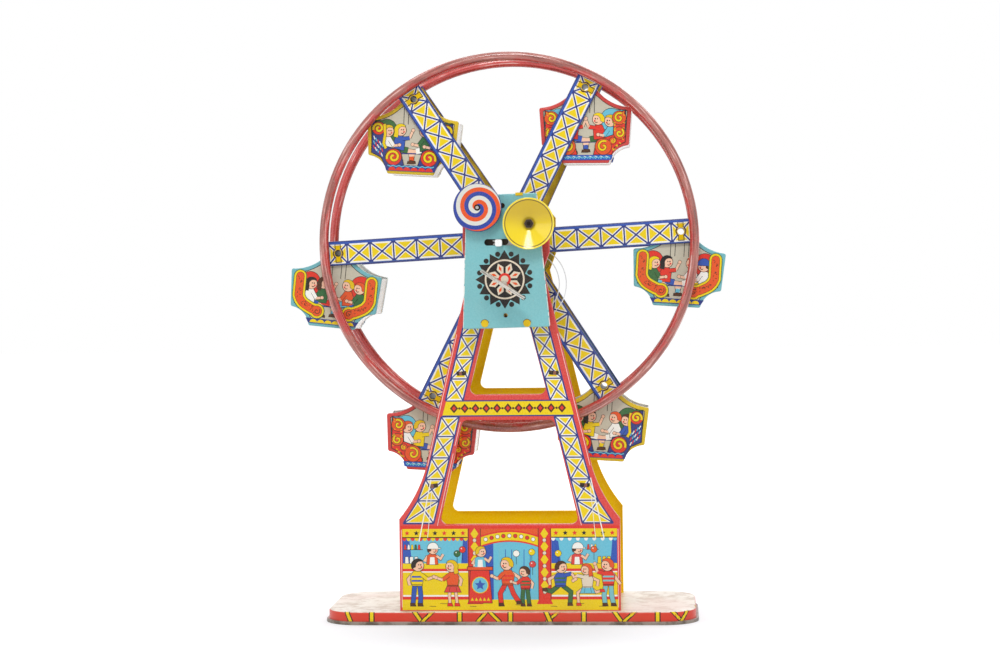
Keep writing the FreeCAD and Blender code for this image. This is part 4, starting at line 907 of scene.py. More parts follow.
def truss_cell(sheet, corners, line=None):
    """Print one lattice cell; its corners go round it, two at its start and two at its end bar."""
    a, b, c, d = corners
    centre = crossing(a, c, b, d)
    width = line or sheet.sizes.line / MM
    for p, q in ((a, b), (b, c), (c, d), (d, a)):
        triangle = shrunk([p, q, centre], sheet.sizes.margin / MM)
        if triangle:
            sheet.fill(triangle, "yellow", 2)
    for bar, layer in (((a, c), 3), ((b, d), 3), ((d, c), 4)):
        sheet.stroke(bar, width, "navy", layer)


class FERRIS_OT_spokes(bpy.types.Operator):
    """Print the lattice on the spokes' outer faces"""
    bl_idname = "ferris.spokes"
    bl_label = "Spokes' lattice"
    flat = 8.2                              # half width of a spoke's flat face, mm
    thin, wide = 0.35, 1.4                  # widths of the two edge stripes, mm
    cells = 5                               # whole cells on a spoke, between its root and its end
    reach = 7.0                             # the end cell's reach on both sides of the pivot, mm
    tail = 1.2                              # what the stripes run on past the end cell, mm
    plate = (1.9, 2.2)                      # half width and depth of the small plates, mm
    bare = 3.1                              # radius of the bare tin round the pivot, mm
    roots = {"front": 16.6, "rear": 20.8}   # where the lattice starts, mm from the axle
    arms = {"front": ((0, 3), (3, 3)),      # first spoke and count of those printed alike
            "rear": ((0, 1), (1, 1), (2, 1), (3, 3))}

    def edges(self, thick):
        """Return the lattice's lower and upper edge; thick is 1 with the wide stripe above."""
        lower, upper = -self.flat + self.thin, self.flat - self.wide
        return (lower, upper) if thick > 0 else (-upper, -lower)

    def stripes(self, sheet, start, end, thick):
        """Print the wide and the thin edge stripe, and the two plates where a bar meets them."""
        lower, upper = self.edges(thick)
        for low, high in ((upper, self.flat), (-self.flat, lower)):
            narrow = high - low < self.wide / 2
            sheet.fill(block(start, end, low, high), "navy" if narrow else "blue", 4)
            if narrow:
                # A pale blue painted highlight line along the narrow stripe's outer edge.
                rim = low if low < 0 else high
                sheet.stroke([(start, rim), (end, rim)], 0.3, linear(84, 122, 196), 6)
        across, deep = self.plate
        for edge, inward in ((upper, -deep), (lower, deep)):
            plate = [(start - across, edge), (start + across, edge), (start, edge + inward)]
            sheet.fill(plate, "navy", 5)

    def cell(self, sheet, start, end, thick):
        """Print a plain cell."""
        lower, upper = self.edges(thick)
        sheet.fill(block(start, end, -self.flat, self.flat), "white", 1)
        truss_cell(sheet, [(start, upper), (start, lower), (end, lower), (end, upper)])
        self.stripes(sheet, start, end, thick)

    def end_cell(self, sheet, start, hole, thick):
        """Print the cell round the pivot, which leaves the pivot's hole and its flare bare."""
        lower, upper = self.edges(thick)
        far, rest = hole + self.reach, hole + self.reach + self.tail
        corners = [(start, upper), (start, lower), (far, lower), (far, upper)]
        line, margin = sheet.sizes.line / MM, sheet.sizes.margin / MM
        left, right = (arc(hole, 0, self.bare, a, b, 14) for a, b in ((90, 270), (-90, 90)))
        sheet.fill([(start, self.flat), (start, -self.flat), (hole, -self.flat)]
                   + left[::-1] + [(hole, self.flat)], "white", 1)
        sheet.fill([(hole, self.flat)] + right[::-1]
                   + [(hole, -self.flat), (rest, -self.flat), (rest, self.flat)], "white", 1)

        def towards(corner, radius):
            """Return a place at a radius round the pivot, on the way to a corner."""
            way = Vector((corner[0] - hole, corner[1])).normalized() * radius
            return hole + way.x, way.y
        for corner in corners:
            sheet.stroke([corner, towards(corner, self.bare + 0.2)], line, "navy", 3)
        for a, b in zip(corners, corners[1:] + corners[:1]):
            near = [towards(corner, self.bare + 0.8) for corner in (b, a)]
            shape = shrunk([a, b] + near, margin * 0.9)
            if shape:
                sheet.fill(shape, "yellow", 2)
        sheet.stroke([(far, lower), (far, upper)], line, "navy", 3)
        for side in (-1, 1):
            tab = [(hole + x, side * y) for x, y in block(-2.0, 2.0, 3.2, 6.9)]
            sheet.stroke(tab, 0.6, "brown", 4, closed=True)
            # Brown painted shadow beside the pivot's hole.
            hole_shadow = ((2.9, -2.6), (3.7, 0.4), (2.7, 2.8))
            sheet.stroke([(hole + side * x, y) for x, y in hole_shadow], 0.9, "brown", 4)
        self.stripes(sheet, start, rest, thick)

    def execute(self, context):
        cell = context.scene.ferris_sizes.cell / MM
        inner = PIVOT_CIRCLE - self.reach - self.cells * cell
        outer = inner + self.cells * cell
        finish = finish_of("printed_ink")
        for name, side in (("front", -1), ("rear", 1)):
            meshes = []
            for first, arms in self.arms[name]:
                place = on_spoke(first, side)
                thick = 1 if first < 3 else -1
                if side > 0:
                    place = turned_over(place)
                    thick = -thick
                root, plain, end = (Print(place) for _ in range(3))
                self.cell(root, self.roots[name], inner, thick)
                self.cell(plain, inner, inner + cell, thick)
                self.end_cell(end, outer, PIVOT_CIRCLE, thick)
                step = place(cell, 0, 0) - place(0, 0, 0)
                for sheet, part, count in ((root, "root", 1), (plain, "cell", self.cells),
                                           (end, "end", 1)):
                    meshes.append(repeated(sheet.mesh(f"spoke_{part}"), finish, count, step,
                                           arms, -60, WHEEL))
            piece(f"{name}_spoke_print", joined(f"{name}_spoke_print", meshes), "big_wheel",
                  finish)
        return {"FINISHED"}


# The legs' artwork, in mm from the middle and above the floor. The curved lower parts have a
# point at each lattice bar.
LEG_OUTER = [(77.9, 74.5), (67.0, 91.3), (60.9, 107.1), (56.4, 123.2), (52.4, 139.0), (48.6, 153.6)]
LEG_INNER = [(55.2, 74.5), (51.0, 91.3), (46.8, 107.1), (42.8, 123.2), (38.8, 139.0), (35.2, 153.6)]
LEG_SHIFT = -0.95                           # how far the legs' lattice is printed off register, mm
LEG_LINE = 0.95                             # width of its lines, mm
UPPER_LEG = ((32.3, 165.6), (45.3, 165.6))  # the straight part's foot: its inner and outer edge
UPPER_LEAN = 0.252                          # how far it leans in for each mm up
UPPER_CELL, UPPER_CELLS = 16.0, 8           # height of one cell, mm, and their number

# Shapes of the dolls, drawn about the middle of a head of radius 1, or about the feet of a
# doll that is 1 tall. Each pose has a back leg, a front leg, a back arm and a front arm.
HAIR = arc(0, 0, 1.16, 42, 208, 12) + arc(0.42, -0.1, 0.86, 190, 66, 10)
LONG_HAIR = (arc(0, 0, 1.16, 42, 200, 12) + [(-1.25, -1.2), (-0.5, -1.35)]
             + arc(0.36, -0.1, 0.84, 205, 64, 10))
CAP = arc(0, 0.28, 1.12, 0, 180, 10) + [(-1.12, 0.12), (1.55, 0.12), (1.55, 0.30)]
SMILE = [(0.08, -0.50), (0.34, -0.60), (0.60, -0.46)]
TORSO = [(-0.10, 0.42), (0.10, 0.42), (0.13, 0.62), (0.07, 0.71), (-0.07, 0.71), (-0.13, 0.62)]
SKIRT = [(-0.17, 0.30), (0.17, 0.30), (0.09, 0.48), (-0.09, 0.48)]
SHOE = [(-0.05, -0.03), (0.06, -0.03), (0.04, 0.03), (-0.05, 0.03)]
POSES = {
    "stand": (((-0.05, 0.44), (-0.07, 0.23), (-0.09, 0.04)),
              ((0.05, 0.44), (0.07, 0.23), (0.06, 0.04)),
              ((-0.09, 0.66), (-0.18, 0.55), (-0.15, 0.43)),
              ((0.08, 0.65), (0.21, 0.55), (0.34, 0.60))),
    "wave": (((-0.05, 0.44), (-0.06, 0.23), (-0.10, 0.04)),
             ((0.05, 0.44), (0.09, 0.23), (0.07, 0.04)),
             ((-0.09, 0.66), (-0.17, 0.54), (-0.24, 0.45)),
             ((0.08, 0.66), (0.22, 0.70), (0.27, 0.86))),
    "walk": (((-0.04, 0.44), (-0.11, 0.25), (-0.22, 0.08)),
             ((0.05, 0.44), (0.15, 0.26), (0.13, 0.04)),
             ((-0.09, 0.66), (-0.21, 0.58), (-0.26, 0.47)),
             ((0.08, 0.66), (0.19, 0.54), (0.31, 0.60))),
    "run": (((-0.04, 0.44), (-0.19, 0.32), (-0.33, 0.36)),
            ((0.05, 0.44), (0.22, 0.31), (0.20, 0.05)),
            ((-0.08, 0.66), (-0.24, 0.58), (-0.22, 0.46)),
            ((0.08, 0.66), (0.24, 0.70), (0.32, 0.58))),
}


def head(sheet, x, z, radius, hair, facing, layer, cap=None, long=False):
    """Print a plain round head in half profile."""
    place = (x, z, radius, facing)
    sheet.outlined(circle(x, z, radius, 16), "skin", "black", 0.42, layer)
    sheet.outlined(scaled(LONG_HAIR if long else HAIR, *place), hair, "black", 0.25, layer + 2)
    if cap is not None:
        sheet.outlined(scaled(CAP, *place), cap, "black", 0.25, layer + 4)
    for across, up, size, colour in ((0.50, 0.10, 0.13, "black"), (0.12, 0.10, 0.11, "black"),
                                     (0.62, -0.28, 0.17, "coral")):
        spot = circle(x + facing * across * radius, z + up * radius, size * radius, 8)
        sheet.fill(spot, colour, layer + 2)
    sheet.stroke(scaled(SMILE, *place), 0.13 * radius, "brown", layer + 2)


def doll(sheet, x, z, size, hair, shirt, legs, pose, facing, skirt):
    """Print a plain round-headed child, whose feet are at x, z."""
    layer = 6
    place = (x, z, size, facing)
    back_leg, front_leg, back_arm, front_arm = (scaled(path, *place) for path in POSES[pose])
    sheet.limb(back_arm, 0.055 * size, "skin", "black", layer)
    for leg in (back_leg, front_leg):
        if skirt:
            sheet.limb(leg, 0.055 * size, "skin", "black", layer)
        else:
            sheet.limb(leg, 0.085 * size, legs, "black", layer)
        shoe = scaled(SHOE, *leg[2], size)
        sheet.outlined(shoe, "red" if skirt else "brown", "black", 0.2, layer + 2)
    if skirt:
        sheet.outlined(scaled(SKIRT, *place), legs, "black", 0.3, layer + 2)
        for fold in (-0.06, 0.05):
            sheet.stroke(scaled([(fold * 1.5, 0.31), (fold, 0.44)], *place), 0.25, "black",
                         layer + 4)
    sheet.outlined(scaled(TORSO, *place), shirt, "black", 0.3, layer + 3)
    sheet.stroke(scaled([(-0.10, 0.44), (0.10, 0.44)], *place), 0.5, "black", layer + 5)
    if not skirt:
        for up in (0.52, 0.60):
            sheet.stroke(scaled([(-0.11, up), (0.11, up)], *place), 0.035 * size, legs, layer + 5)
    sheet.limb(front_arm[:2], 0.07 * size, shirt, "black", layer + 5)
    sheet.limb(front_arm[1:], 0.05 * size, "skin", "black", layer + 5)
    sheet.outlined(circle(*front_arm[2], 0.035 * size, 8), "skin", "black", 0.2, layer + 6)
    head(sheet, x + 0.02 * facing * size, z + 0.83 * size, 0.115 * size, hair, facing,
         layer + 5, long=skirt)


def bulb(sheet, x, z, colour, layer):
    """Print a lamp bulb."""
    sheet.outlined(circle(x, z, sheet.sizes.bulb / MM, 12), colour, "brown", 0.3, layer)


def scallops(sheet, low, high, z, depth, colours, layer, count):
    """Print a row of scallops that hang from a line, or stand on it if depth is below 0."""
    width = (high - low) / count
    for index in range(count):
        middle = low + width * (index + 0.5)
        shape = [(middle + width / 2, z), (middle - width / 2, z)]
        shape += [(middle + width / 2 * math.cos(t), z - depth * math.sin(t))
                  for t in (math.pi * (1 - i / 8) for i in range(1, 8))]
        sheet.fill(shape, colours[index % len(colours)], layer)


class FERRIS_OT_towers(bpy.types.Operator):
    """Print the legs' lattice, the sign strip and the ticket booth on both towers"""
    bl_idname = "ferris.towers"
    bl_label = "Towers' artwork"
    half, ground, roof = 81.0, 10.0, 72.6          # the booth's half width and its ends, mm
    kerb = 17.8                                    # top of the yellow kerb, mm
    stall = (31.0, 79.6)                           # a stall's ends, mm from the middle
    counter_top, awning, board = 44.8, 63.2, 70.4  # heights on the stalls, mm
    columns = ((-30.4, -21.4), (21.4, 30.4))       # the columns of bulbs, mm
    column_ends = (17.6, 70.6)                     # their foot and top
    door = 21.2                                    # the doorway's half width, mm
    spring, bow = 57.4, 60.0                       # the arch's foot and radius, mm
    arch = 7.2                                     # height of the arch's band, mm
    floor = 12.6                                   # where the children stand, mm

    def legs(self, sheet):
        """Print the lattice on the legs' curved lower parts."""
        sheet.both(LEG_OUTER + LEG_INNER[::-1], "white", 1)
        for i in range(len(LEG_OUTER) - 1):
            corners = (LEG_INNER[i], LEG_OUTER[i], LEG_OUTER[i + 1], LEG_INNER[i + 1])
            truss_cell(sheet, corners, line=LEG_LINE)
            truss_cell(sheet, sided(corners, -1), line=LEG_LINE)
        foot = [LEG_INNER[0], LEG_OUTER[0]]
        for edge, width in ((LEG_OUTER, 1.1), (LEG_INNER, 1.1), (foot, 1.2)):
            sheet.both_strokes(edge, width, "navy", 5)

    def upper_cell(self, place, side):
        """Return the mesh of the lowest lattice cell on a leg's straight upper part."""
        sheet = Print(place)
        (inner, z), (outer, _) = UPPER_LEG
        top, shift = z + UPPER_CELL, UPPER_LEAN * UPPER_CELL
        corners = [(inner, z), (outer, z), (outer - shift, top), (inner - shift, top)]
        if side < 0:
            corners = sided(corners, side)
        sheet.fill(corners, "white", 1)
        truss_cell(sheet, corners, line=LEG_LINE)
        for first, last in ((0, 3), (1, 2)):
            sheet.stroke([corners[first], corners[last]], 1.1, "navy", 5)
        return sheet.mesh("leg_cell")

    def wear(self, sheet):
        """Print dark marks at the stiffeners' tabs, glare streaks as painted highlights, and painted highlight
        lines along the rolled edges.
        """
        # Dark marks with red-brown and brown patches at the stiffeners' tabs.
        for x, z, tilt in ((56.4, 102.8, -0.20), (34.4, 186.0, -0.26)):
            spot = [(-3.9, -1.2), (-2.4, -1.8), (2.6, -1.7 + tilt), (3.7, -0.6), (3.4, 1.5 + tilt),
                    (0.6, 1.0), (-3.6, 1.6)]
            rust = [(-0.8, -1.9), (1.5, -1.9), (1.7, 0.9), (-0.2, 1.1)]
            dull = [(-3.2, 0.3), (-1.4, 0.1), (-1.6, 1.0), (-3.0, 1.1)]
            for side in (-1, 1):
                for shape, colour, layer in ((spot, "black", 7), (rust, "rust", 8),
                                             (dull, "brown", 8)):
                    sheet.fill(scaled(shape, side * x, z, 1.0, side), colour, layer)
        # White glare streaks on the legs' lower parts: painted highlights.
        for start, end, width in (((60.6, 108.0), (70.2, 62.6), 0.8),
                                  ((60.4, 100.0), (63.8, 63.5), 0.4),
                                  ((-57.8, 107.0), (-67.2, 61.0), 0.8),
                                  ((-57.2, 98.0), (-60.8, 64.0), 0.4)):
            sheet.stroke([start, end], width, "white", 12)
        # Pale painted highlight lines along the rolled edges of the legs, the windows and the booth.
        for path in ([(60.3, 117.0), (37.3, 214.5)], [(39.6, 132.0), (35.5, 149.6)],
                     [(53.4, 72.8), (41.0, 126.4)], [(80.4, 12.0), (80.4, 70.0)]):
            sheet.both_strokes(path, 0.4, "pale", 3)

    def sign(self, sheet):
        """Print the strip between the legs, with a row of lozenges."""
        low, high, foot, top = 154.2, 165.3, 48.7, 45.7
        sheet.fill(tapered(0, low, high, foot, top), "yellow", 6)
        for z, half in ((low, foot), (high, top)):
            sheet.stroke([(-half, z), (half, z)], 0.9, "navy", 7)
        middle, pitch = (low + high) / 2, 8.0
        for index in range(-5, 6):
            x = index * pitch
            sheet.fill(diamond(x, middle, 3.1, 3.6), "brown", 7)
            sheet.fill(diamond(x, middle, 1.5, 1.8), "red", 8)
            if index < 5:
                sheet.fill(circle(x + pitch / 2, middle, 0.9, 10), "brown", 7)

    def stalls(self, sheet):
        """Print the stalls beside the doorway, with awnings and stars."""
        counter, awning = self.counter_top, self.awning
        for side in (-1, 1):
            low, high = sorted(side * end for end in self.stall)
            for bottom, top, colour, layer in (
                    (20.6, 38.2, "yellow", 2), (20.0, 21.2, "white", 3), (38.0, 38.9, "white", 3),
                    (40.8, counter, "yellow", 2), (counter, awning, "sky", 2)):
                sheet.fill(block(low, high, bottom, top), colour, layer)
            for x, foot, top in ((low, 7, 5), (high, -5, -3.4)):
                curtain = [(x, counter), (x + foot, counter), (x + top, awning), (x, awning)]
                sheet.fill(curtain, "blue", 3)
            sheet.fill(block(low, high, awning + 0.8, self.board), "yellow", 2)
            sheet.stroke([(low, awning + 0.8), (high, awning + 0.8)], 0.7, "black", 4)
            colours = ("red", "yellow") if side < 0 else ("white", "sky")
            scallops(sheet, low, high, awning + 0.4, 2.2, colours, 5, 16)
            for index in range(7):
                x = low + (high - low) * (index + 0.5) / 7
                sheet.fill(star(x, 67.2, 2.0, 0.9), "black" if index % 2 else "red", 4)

    def bulb_columns(self, sheet):
        """Print the columns of bulbs beside the doorway."""
        foot, top = self.column_ends
        for low, high in self.columns:
            middle = (low + high) / 2
            sheet.fill(block(low, high, foot, top), "red", 3)
            for index in range(5):
                z = 23.5 + 9.6 * index
                sheet.fill(diamond(middle, z + 4.8, 2.9, 4.2), "yellow", 4)
                bulb(sheet, middle, z, "cream", 5)
            for x in (low, high):
                sheet.stroke([(x, foot), (x, top)], 0.5, "brown", 5)
            sheet.fill(tapered(middle, 14.4, self.kerb, 6.0, 4.5), "red", 4)

    def doorway(self, sheet):
        """Print the open doorway under an arch of bulbs."""
        door, spring, kerb, bow = self.door, self.spring, self.kerb, self.bow
        rise = bowed((-door, spring), (door, spring), -bow, 16) + [(door, spring)]
        upper = [(x, z + self.arch) for x, z in rise]
        sheet.fill([(door, kerb), (-door, kerb)] + rise, "sky", 2)
        sheet.fill([(-door, kerb), (-12.0, kerb), (-12.0, 60.2), (-door, spring)], "blue", 3)
        for index in range(7):
            x = -8 + 4.6 * index
            sheet.stroke([(x, 24), (x + 0.4, 55)], 0.5, "blue" if index % 3 else "turquoise", 3)
        board = [(-door, 66.0), (-door, self.board), (door, self.board), (door, 66.0)]
        sheet.fill(board, "orange", 2)
        sheet.fill([(-door, spring)] + upper + [(door, spring)] + rise[::-1], "yellow", 3)
        sheet.stroke(rise, 1.1, "red", 6)
        sheet.stroke(upper, 1.1, "red", 6)
        for index in range(9):
            x = -17.6 + 4.4 * index
            z = spring + 3.9 + math.sqrt(bow * bow - x * x) - math.sqrt(bow * bow - door * door)
            bulb(sheet, x, z, "red" if index % 2 else "white", 7)

    def ticket_counter(self, sheet):
        """Print the counter where tickets are sold, with a starred disc."""
        x, z = -22.1, 28.6
        sheet.outlined([(-30.6, 15.4), (-13.4, 15.4), (-15.4, 40.0), (-29.0, 40.0)],
                       "red", "black", 0.4, 6)
        sheet.outlined(block(-31.4, -12.8, 39.8, 42.0), "orange", "black", 0.4, 7)
        sheet.outlined(circle(x, z, 5.6, 18), "sky", "yellow", 0.6, 8)
        sheet.fill(star(x, z, 4.2, 1.9), "blue", 10)
        for index in range(5):
            x = -28.0 + 3.0 * index
            sheet.fill([(x - 1.2, 17.0), (x + 1.2, 17.0), (x, 19.4)], "yellow", 8)

    def booth(self, sheet):
        """Print the booth's wall, stalls, columns, doorway and counter."""
        sheet.fill(block(-self.half, self.half, self.ground, self.roof), "red", 1)
        edge = self.half - 0.9
        sheet.fill(block(-edge, edge, self.ground, self.kerb), "yellow", 2)
        self.stalls(sheet)
        self.bulb_columns(sheet)
        self.doorway(sheet)
        self.ticket_counter(sheet)

    def crowd(self, sheet):
        """Print the children in front of the booth and the sellers in it."""
        for x, size, hair, shirt, legs, pose, facing, skirt in (
                (-69.0, 37, "black", "yellow", "blue", "stand", 1, False),
                (-42.5, 36, "gold", "orange", "coral", "stand", -1, True),
                (-1.5, 38, "gold", "orange", "red", "walk", -1, False),
                (11.5, 31, "brown", "red", "green", "stand", -1, False),
                (37.5, 35, "brown", "blue", "green", "run", 1, False),
                (57.5, 33, "orange", "cream", "sky", "run", -1, True),
                (73.0, 37, "orange", "red", "turquoise", "wave", -1, False)):
            doll(sheet, x, self.floor, size, hair, shirt, legs, pose, facing, skirt)
        coat = [(-4.2, 0), (4.2, 0), (3.6, 6.6), (1.6, 7.8), (-1.6, 7.8), (-3.6, 6.6)]
        for x, z, hair, shirt, cap in ((-57.5, 44.0, "brown", "orange", "white"),
                                       (50.0, 44.0, "brown", "coral", "white"),
                                       (-21.8, 42.0, "gold", "sky", None)):
            back, front = (scaled(path, x, z, 1) for path in (
                [(-3.4, 6.4), (-5.6, 3.0), (-1.8, 1.4)], [(3.2, 6.4), (6.2, 4.2), (8.2, 7.6)]))
            sheet.limb(back, 1.7, "skin", "black", 5)
            sheet.outlined(scaled(coat, x, z, 1), shirt, "black", 0.3, 6)
            sheet.fill(tapered(x, z, z + 5.4, 2.0, 1.6), "white", 8)
            sheet.limb(front, 1.7, "skin", "black", 7)
            head(sheet, x + 0.6, z + 11.2, 3.6, hair, 1, 8, cap=cap)

    def goods(self, sheet):
        """Print the balloons, the cups and jars in the stalls, and the marks on the ground."""
        for x, z, colour in ((-35.0, 55, "red"), (-39.0, 52, "green"), (36.0, 52, "yellow"),
                             (62.5, 55, "orange"), (5.0, 52, "white"), (16.5, 53, "yellow"),
                             (17.0, 44, "coral")):
            sheet.stroke([(x, z - 8), (x, z)], 0.35, "black", 4)
            sheet.outlined(circle(x, z, 2.3, 14), colour, "black", 0.3, 5)
            sheet.fill(circle(x - 0.7, z + 0.8, 0.5, 8), "white", 7)
        shelf, pitch = 55.0, 2.6
        for low, high in ((-79.0, -64.5), (57.0, 66.0)):
            sheet.stroke([(low, shelf), (high, shelf)], 0.5, "brown", 4)
            for index in range(int((high - low) / pitch)):
                tint = ("red", "white", "yellow", "green")[index % 4]
                cup = tapered(low + 1.4 + pitch * index, shelf + 0.2, shelf + 3.6, 0.9, 0.5)
                sheet.outlined(cup, tint, "black", 0.2, 4)
        for x in (-76.5, -73.0, -69.5, 66.5, 70.0, 73.5):
            jar = tapered(x, self.counter_top, self.counter_top + 4.8, 1.3, 1.0)
            sheet.outlined(jar, "white" if x < 0 else "yellow", "black", 0.3, 4)
        for x in (-60, -52, -30, 4, 20, 30, 50, 66):
            sheet.stroke([(x, 12.9 + x % 3), (x + 5, 12.7 + x % 3)], 0.35, "brown", 3)

    def execute(self, context):
        finish = finish_of("printed_ink")
        for name, place, hand in (("front", on_front(TOWER_FACE), 1),
                                  ("rear", on_back(TOWER_FACE), -1)):
            aside = moved_across(place, LEG_SHIFT)
            lattice, sheet = Print(aside), Print(place)
            self.legs(lattice)
            self.wear(sheet)
            self.sign(sheet)
            self.booth(sheet)
            self.crowd(sheet)
            self.goods(sheet)
            meshes = [lattice.mesh("leg_print"), sheet.mesh("tower_print")]
            for mesh in meshes:
                mesh.materials.append(finish)
            for side in (-1, 1):
                step = Vector((-UPPER_LEAN * side * hand, 0, 1)) * (UPPER_CELL * MM)
                cell = self.upper_cell(aside, side)
                meshes.append(repeated(cell, finish, UPPER_CELLS, step))
            piece(f"{name}_tower_print", joined(f"{name}_tower_print", meshes), "stand",
                  finish)
        return {"FINISHED"}


def boat_outline():
    """Return a gondola panel's outline about its pivot, anticlockwise."""
    half = [(4.6, 5.6), (34.6, -14.8), (32.6, -43.2), (17.7, -56.4)]
    right = [half[0]] + bowed(half[0], half[1], 33.0, 12)[1:] + [half[1]]
    right += [half[2]] + bowed(half[2], half[3], 15.6, 10)[1:] + [half[3]]
    return (right + sided(right, -1)[::-1])[::-1]


class FERRIS_OT_gondolas(bpy.types.Operator):
    """Print the seats, scrolls and riders on the gondolas' panels"""
    bl_idname = "ferris.gondolas"
    bl_label = "Gondolas' artwork"
    rim, rail = 2.7, -5.2       # width of the bare border and height of the print's top, mm
    foot = -54.2                # height of the plinth's lower edge, mm
    designs = {                 # the canopy's ink and the slot of each kind of gondola
        "turquoise": ("red", "gondola_blue"), "red": ("sky", "gondola_red"),
        "yellow": ("green", "gondola_yellow"),
    }
    # Places of the four riders with the way they face, and the seat sides behind the scrolls.
    seats = ((-8.8, -23.5, 1), (9.6, -23.8, -1), (-18.2, -24.6, 1), (18.6, -25.2, -1))
    red_side = [(29.6, -17.6), (22.0, -19.4), (21.0, -35.6), (8.6, -39.6), (6.4, -50.0),
                (19.5, -50.0), (22.0, -44.0), (29.6, -40.6)]
    yellow_side = [(30.0, -17.6), (21.4, -19.6), (20.4, -36.0), (8.6, -38.5), (5.6, -49.4),
                   (19.6, -50.0), (22.4, -44.4), (30.0, -40.8)]

    def riders(self, sheet, seed):
        """Print two pairs of seated children who face one another."""
        shades = random.Random(seed)
        hairs = ["yellow", "black", "brown", "orange", "gold"]
        shirts = ["sky", "red", "green", "yellow", "blue", "orange", "white"]
        for place, (x, z, facing) in enumerate(self.seats):
            hair = hairs[(seed + 2 * place) % len(hairs)]
            shirt, lap, sock = (shades.choice(shirts) for _ in range(3))
            layer = 3 + 2 * (place // 2)

            def at(*path):
                return scaled(path, x, z, 1.0, facing)
            sheet.limb(at((0.6, -14.6), (8.2, -15.6), (9.4, -22.0)), 3.3, "skin", "black", layer)
            sheet.limb(at((9.0, -19.4), (9.5, -22.6)), 3.1, sock, "black", layer + 1)
            sheet.outlined(at((7.6, -24.6), (12.4, -24.6), (12.0, -22.8), (8.0, -22.4)),
                           "brown", "black", 0.25, layer + 2)
            sheet.limb(at((-0.6, -13.8), (6.2, -15.0)), 4.2, lap, "black", layer + 2)
            sheet.outlined(at((-4.4, -14.6), (3.0, -15.0), (3.6, -7.4), (1.8, -4.2), (-3.0, -4.2),
                              (-4.6, -8.0)), shirt, "black", 0.35, layer + 3)
            raised = place == 0 or (place == 1 and seed % 3 == 0)
            elbow, hand = ((7.0, -5.6), (9.4, 0.4)) if raised else ((4.6, -10.8), (9.0, -10.0))
            sheet.limb(at((1.6, -6.4), elbow), 2.6, shirt, "black", layer + 5)
            sheet.limb(at(elbow, hand), 1.8, "skin", "black", layer + 5)
            fist = circle(x + facing * hand[0], z + hand[1], 1.25, 10)
            sheet.outlined(fist, "skin", "black", 0.25, layer + 6)
            head(sheet, x, z, 4.1, hair, facing, layer + 5,
                 cap="blue" if place == 3 and seed % 4 < 2 else None,
                 long=place in (0, 2) and seed % 3 > 0)
        sheet.stroke([(7.6, -40.6), (-7.6, -40.9)], 1.0, "navy", 4)

    def flecks(self, sheet, lines, side, colour, count, size, layer, seed):
        """Scatter small curved flecks along lines; each line has its ends and its spread."""
        scatter = random.Random(seed)
        for _ in range(count):
            *ends, spread = lines[scatter.randrange(len(lines))]
            (x0, z0), (x1, z1) = sided(ends, side)
            share = scatter.random()
            x = x0 + (x1 - x0) * share + scatter.uniform(-spread, spread)
            z = z0 + (z1 - z0) * share + scatter.uniform(-spread, spread)
            turn = scatter.uniform(0, 180)
            sheet.stroke(arc(x, z, size, turn, turn + 150, 4), 0.34, colour, layer)

    def scroll(self, sheet, path, widths, layer):
        """Print a yellow scroll with brown edges."""
        for width, colour, over in ((widths[0], "brown", 0), (widths[1], "yellow", 1)):
            sheet.stroke(path, width, colour, layer + over)

    def turquoise(self, sheet):
        """Print orange benches with green and yellow edges, and a scalloped plinth."""
        top, knee, end = (27.2, -19.8), (27.2, -34.0), (12.2, -45.0)
        seat = [(-top[0], top[1] + 0.2), (-knee[0], knee[1])]
        seat += bowed((-knee[0], knee[1]), (-21.0, -41.4), 11.5, 6)[1:]
        seat += [(-21.0, -41.4), (-17.0, -43.4), (-12.4, -45.0)]
        for width, colour, layer in ((10.0, "green", 17), (9.0, "yellow", 18),
                                     (6.3, "brown", 19), (5.7, "orange", 20)):
            sheet.both_strokes(seat, width, colour, layer)
            for side in (-1, 1):
                sheet.fill(circle(side * end[0], end[1], width / 2 + 0.9, 20), colour, layer)
                sheet.fill(circle(side * top[0], top[1], width / 2, 16), colour, layer)
        lines = (((27.2, -19.0), (27.2, -36.0), 1.7), ((24.5, -38.5), (13.0, -44.5), 1.7))
        for side in (-1, 1):
            self.flecks(sheet, lines, side, "brown", 34, 0.55, 21, 5)
            sheet.stroke(volute(side * end[0], end[1], 2.6, 40, side, 1.1, 16), 0.5, "brown", 22)
        sheet.fill(tapered(0, self.foot, -50.6, 18.0, 20.2), "navy", 21)
        scallops(sheet, -16.8, 16.8, -53.7, -2.5, ("yellow",), 23, 6)

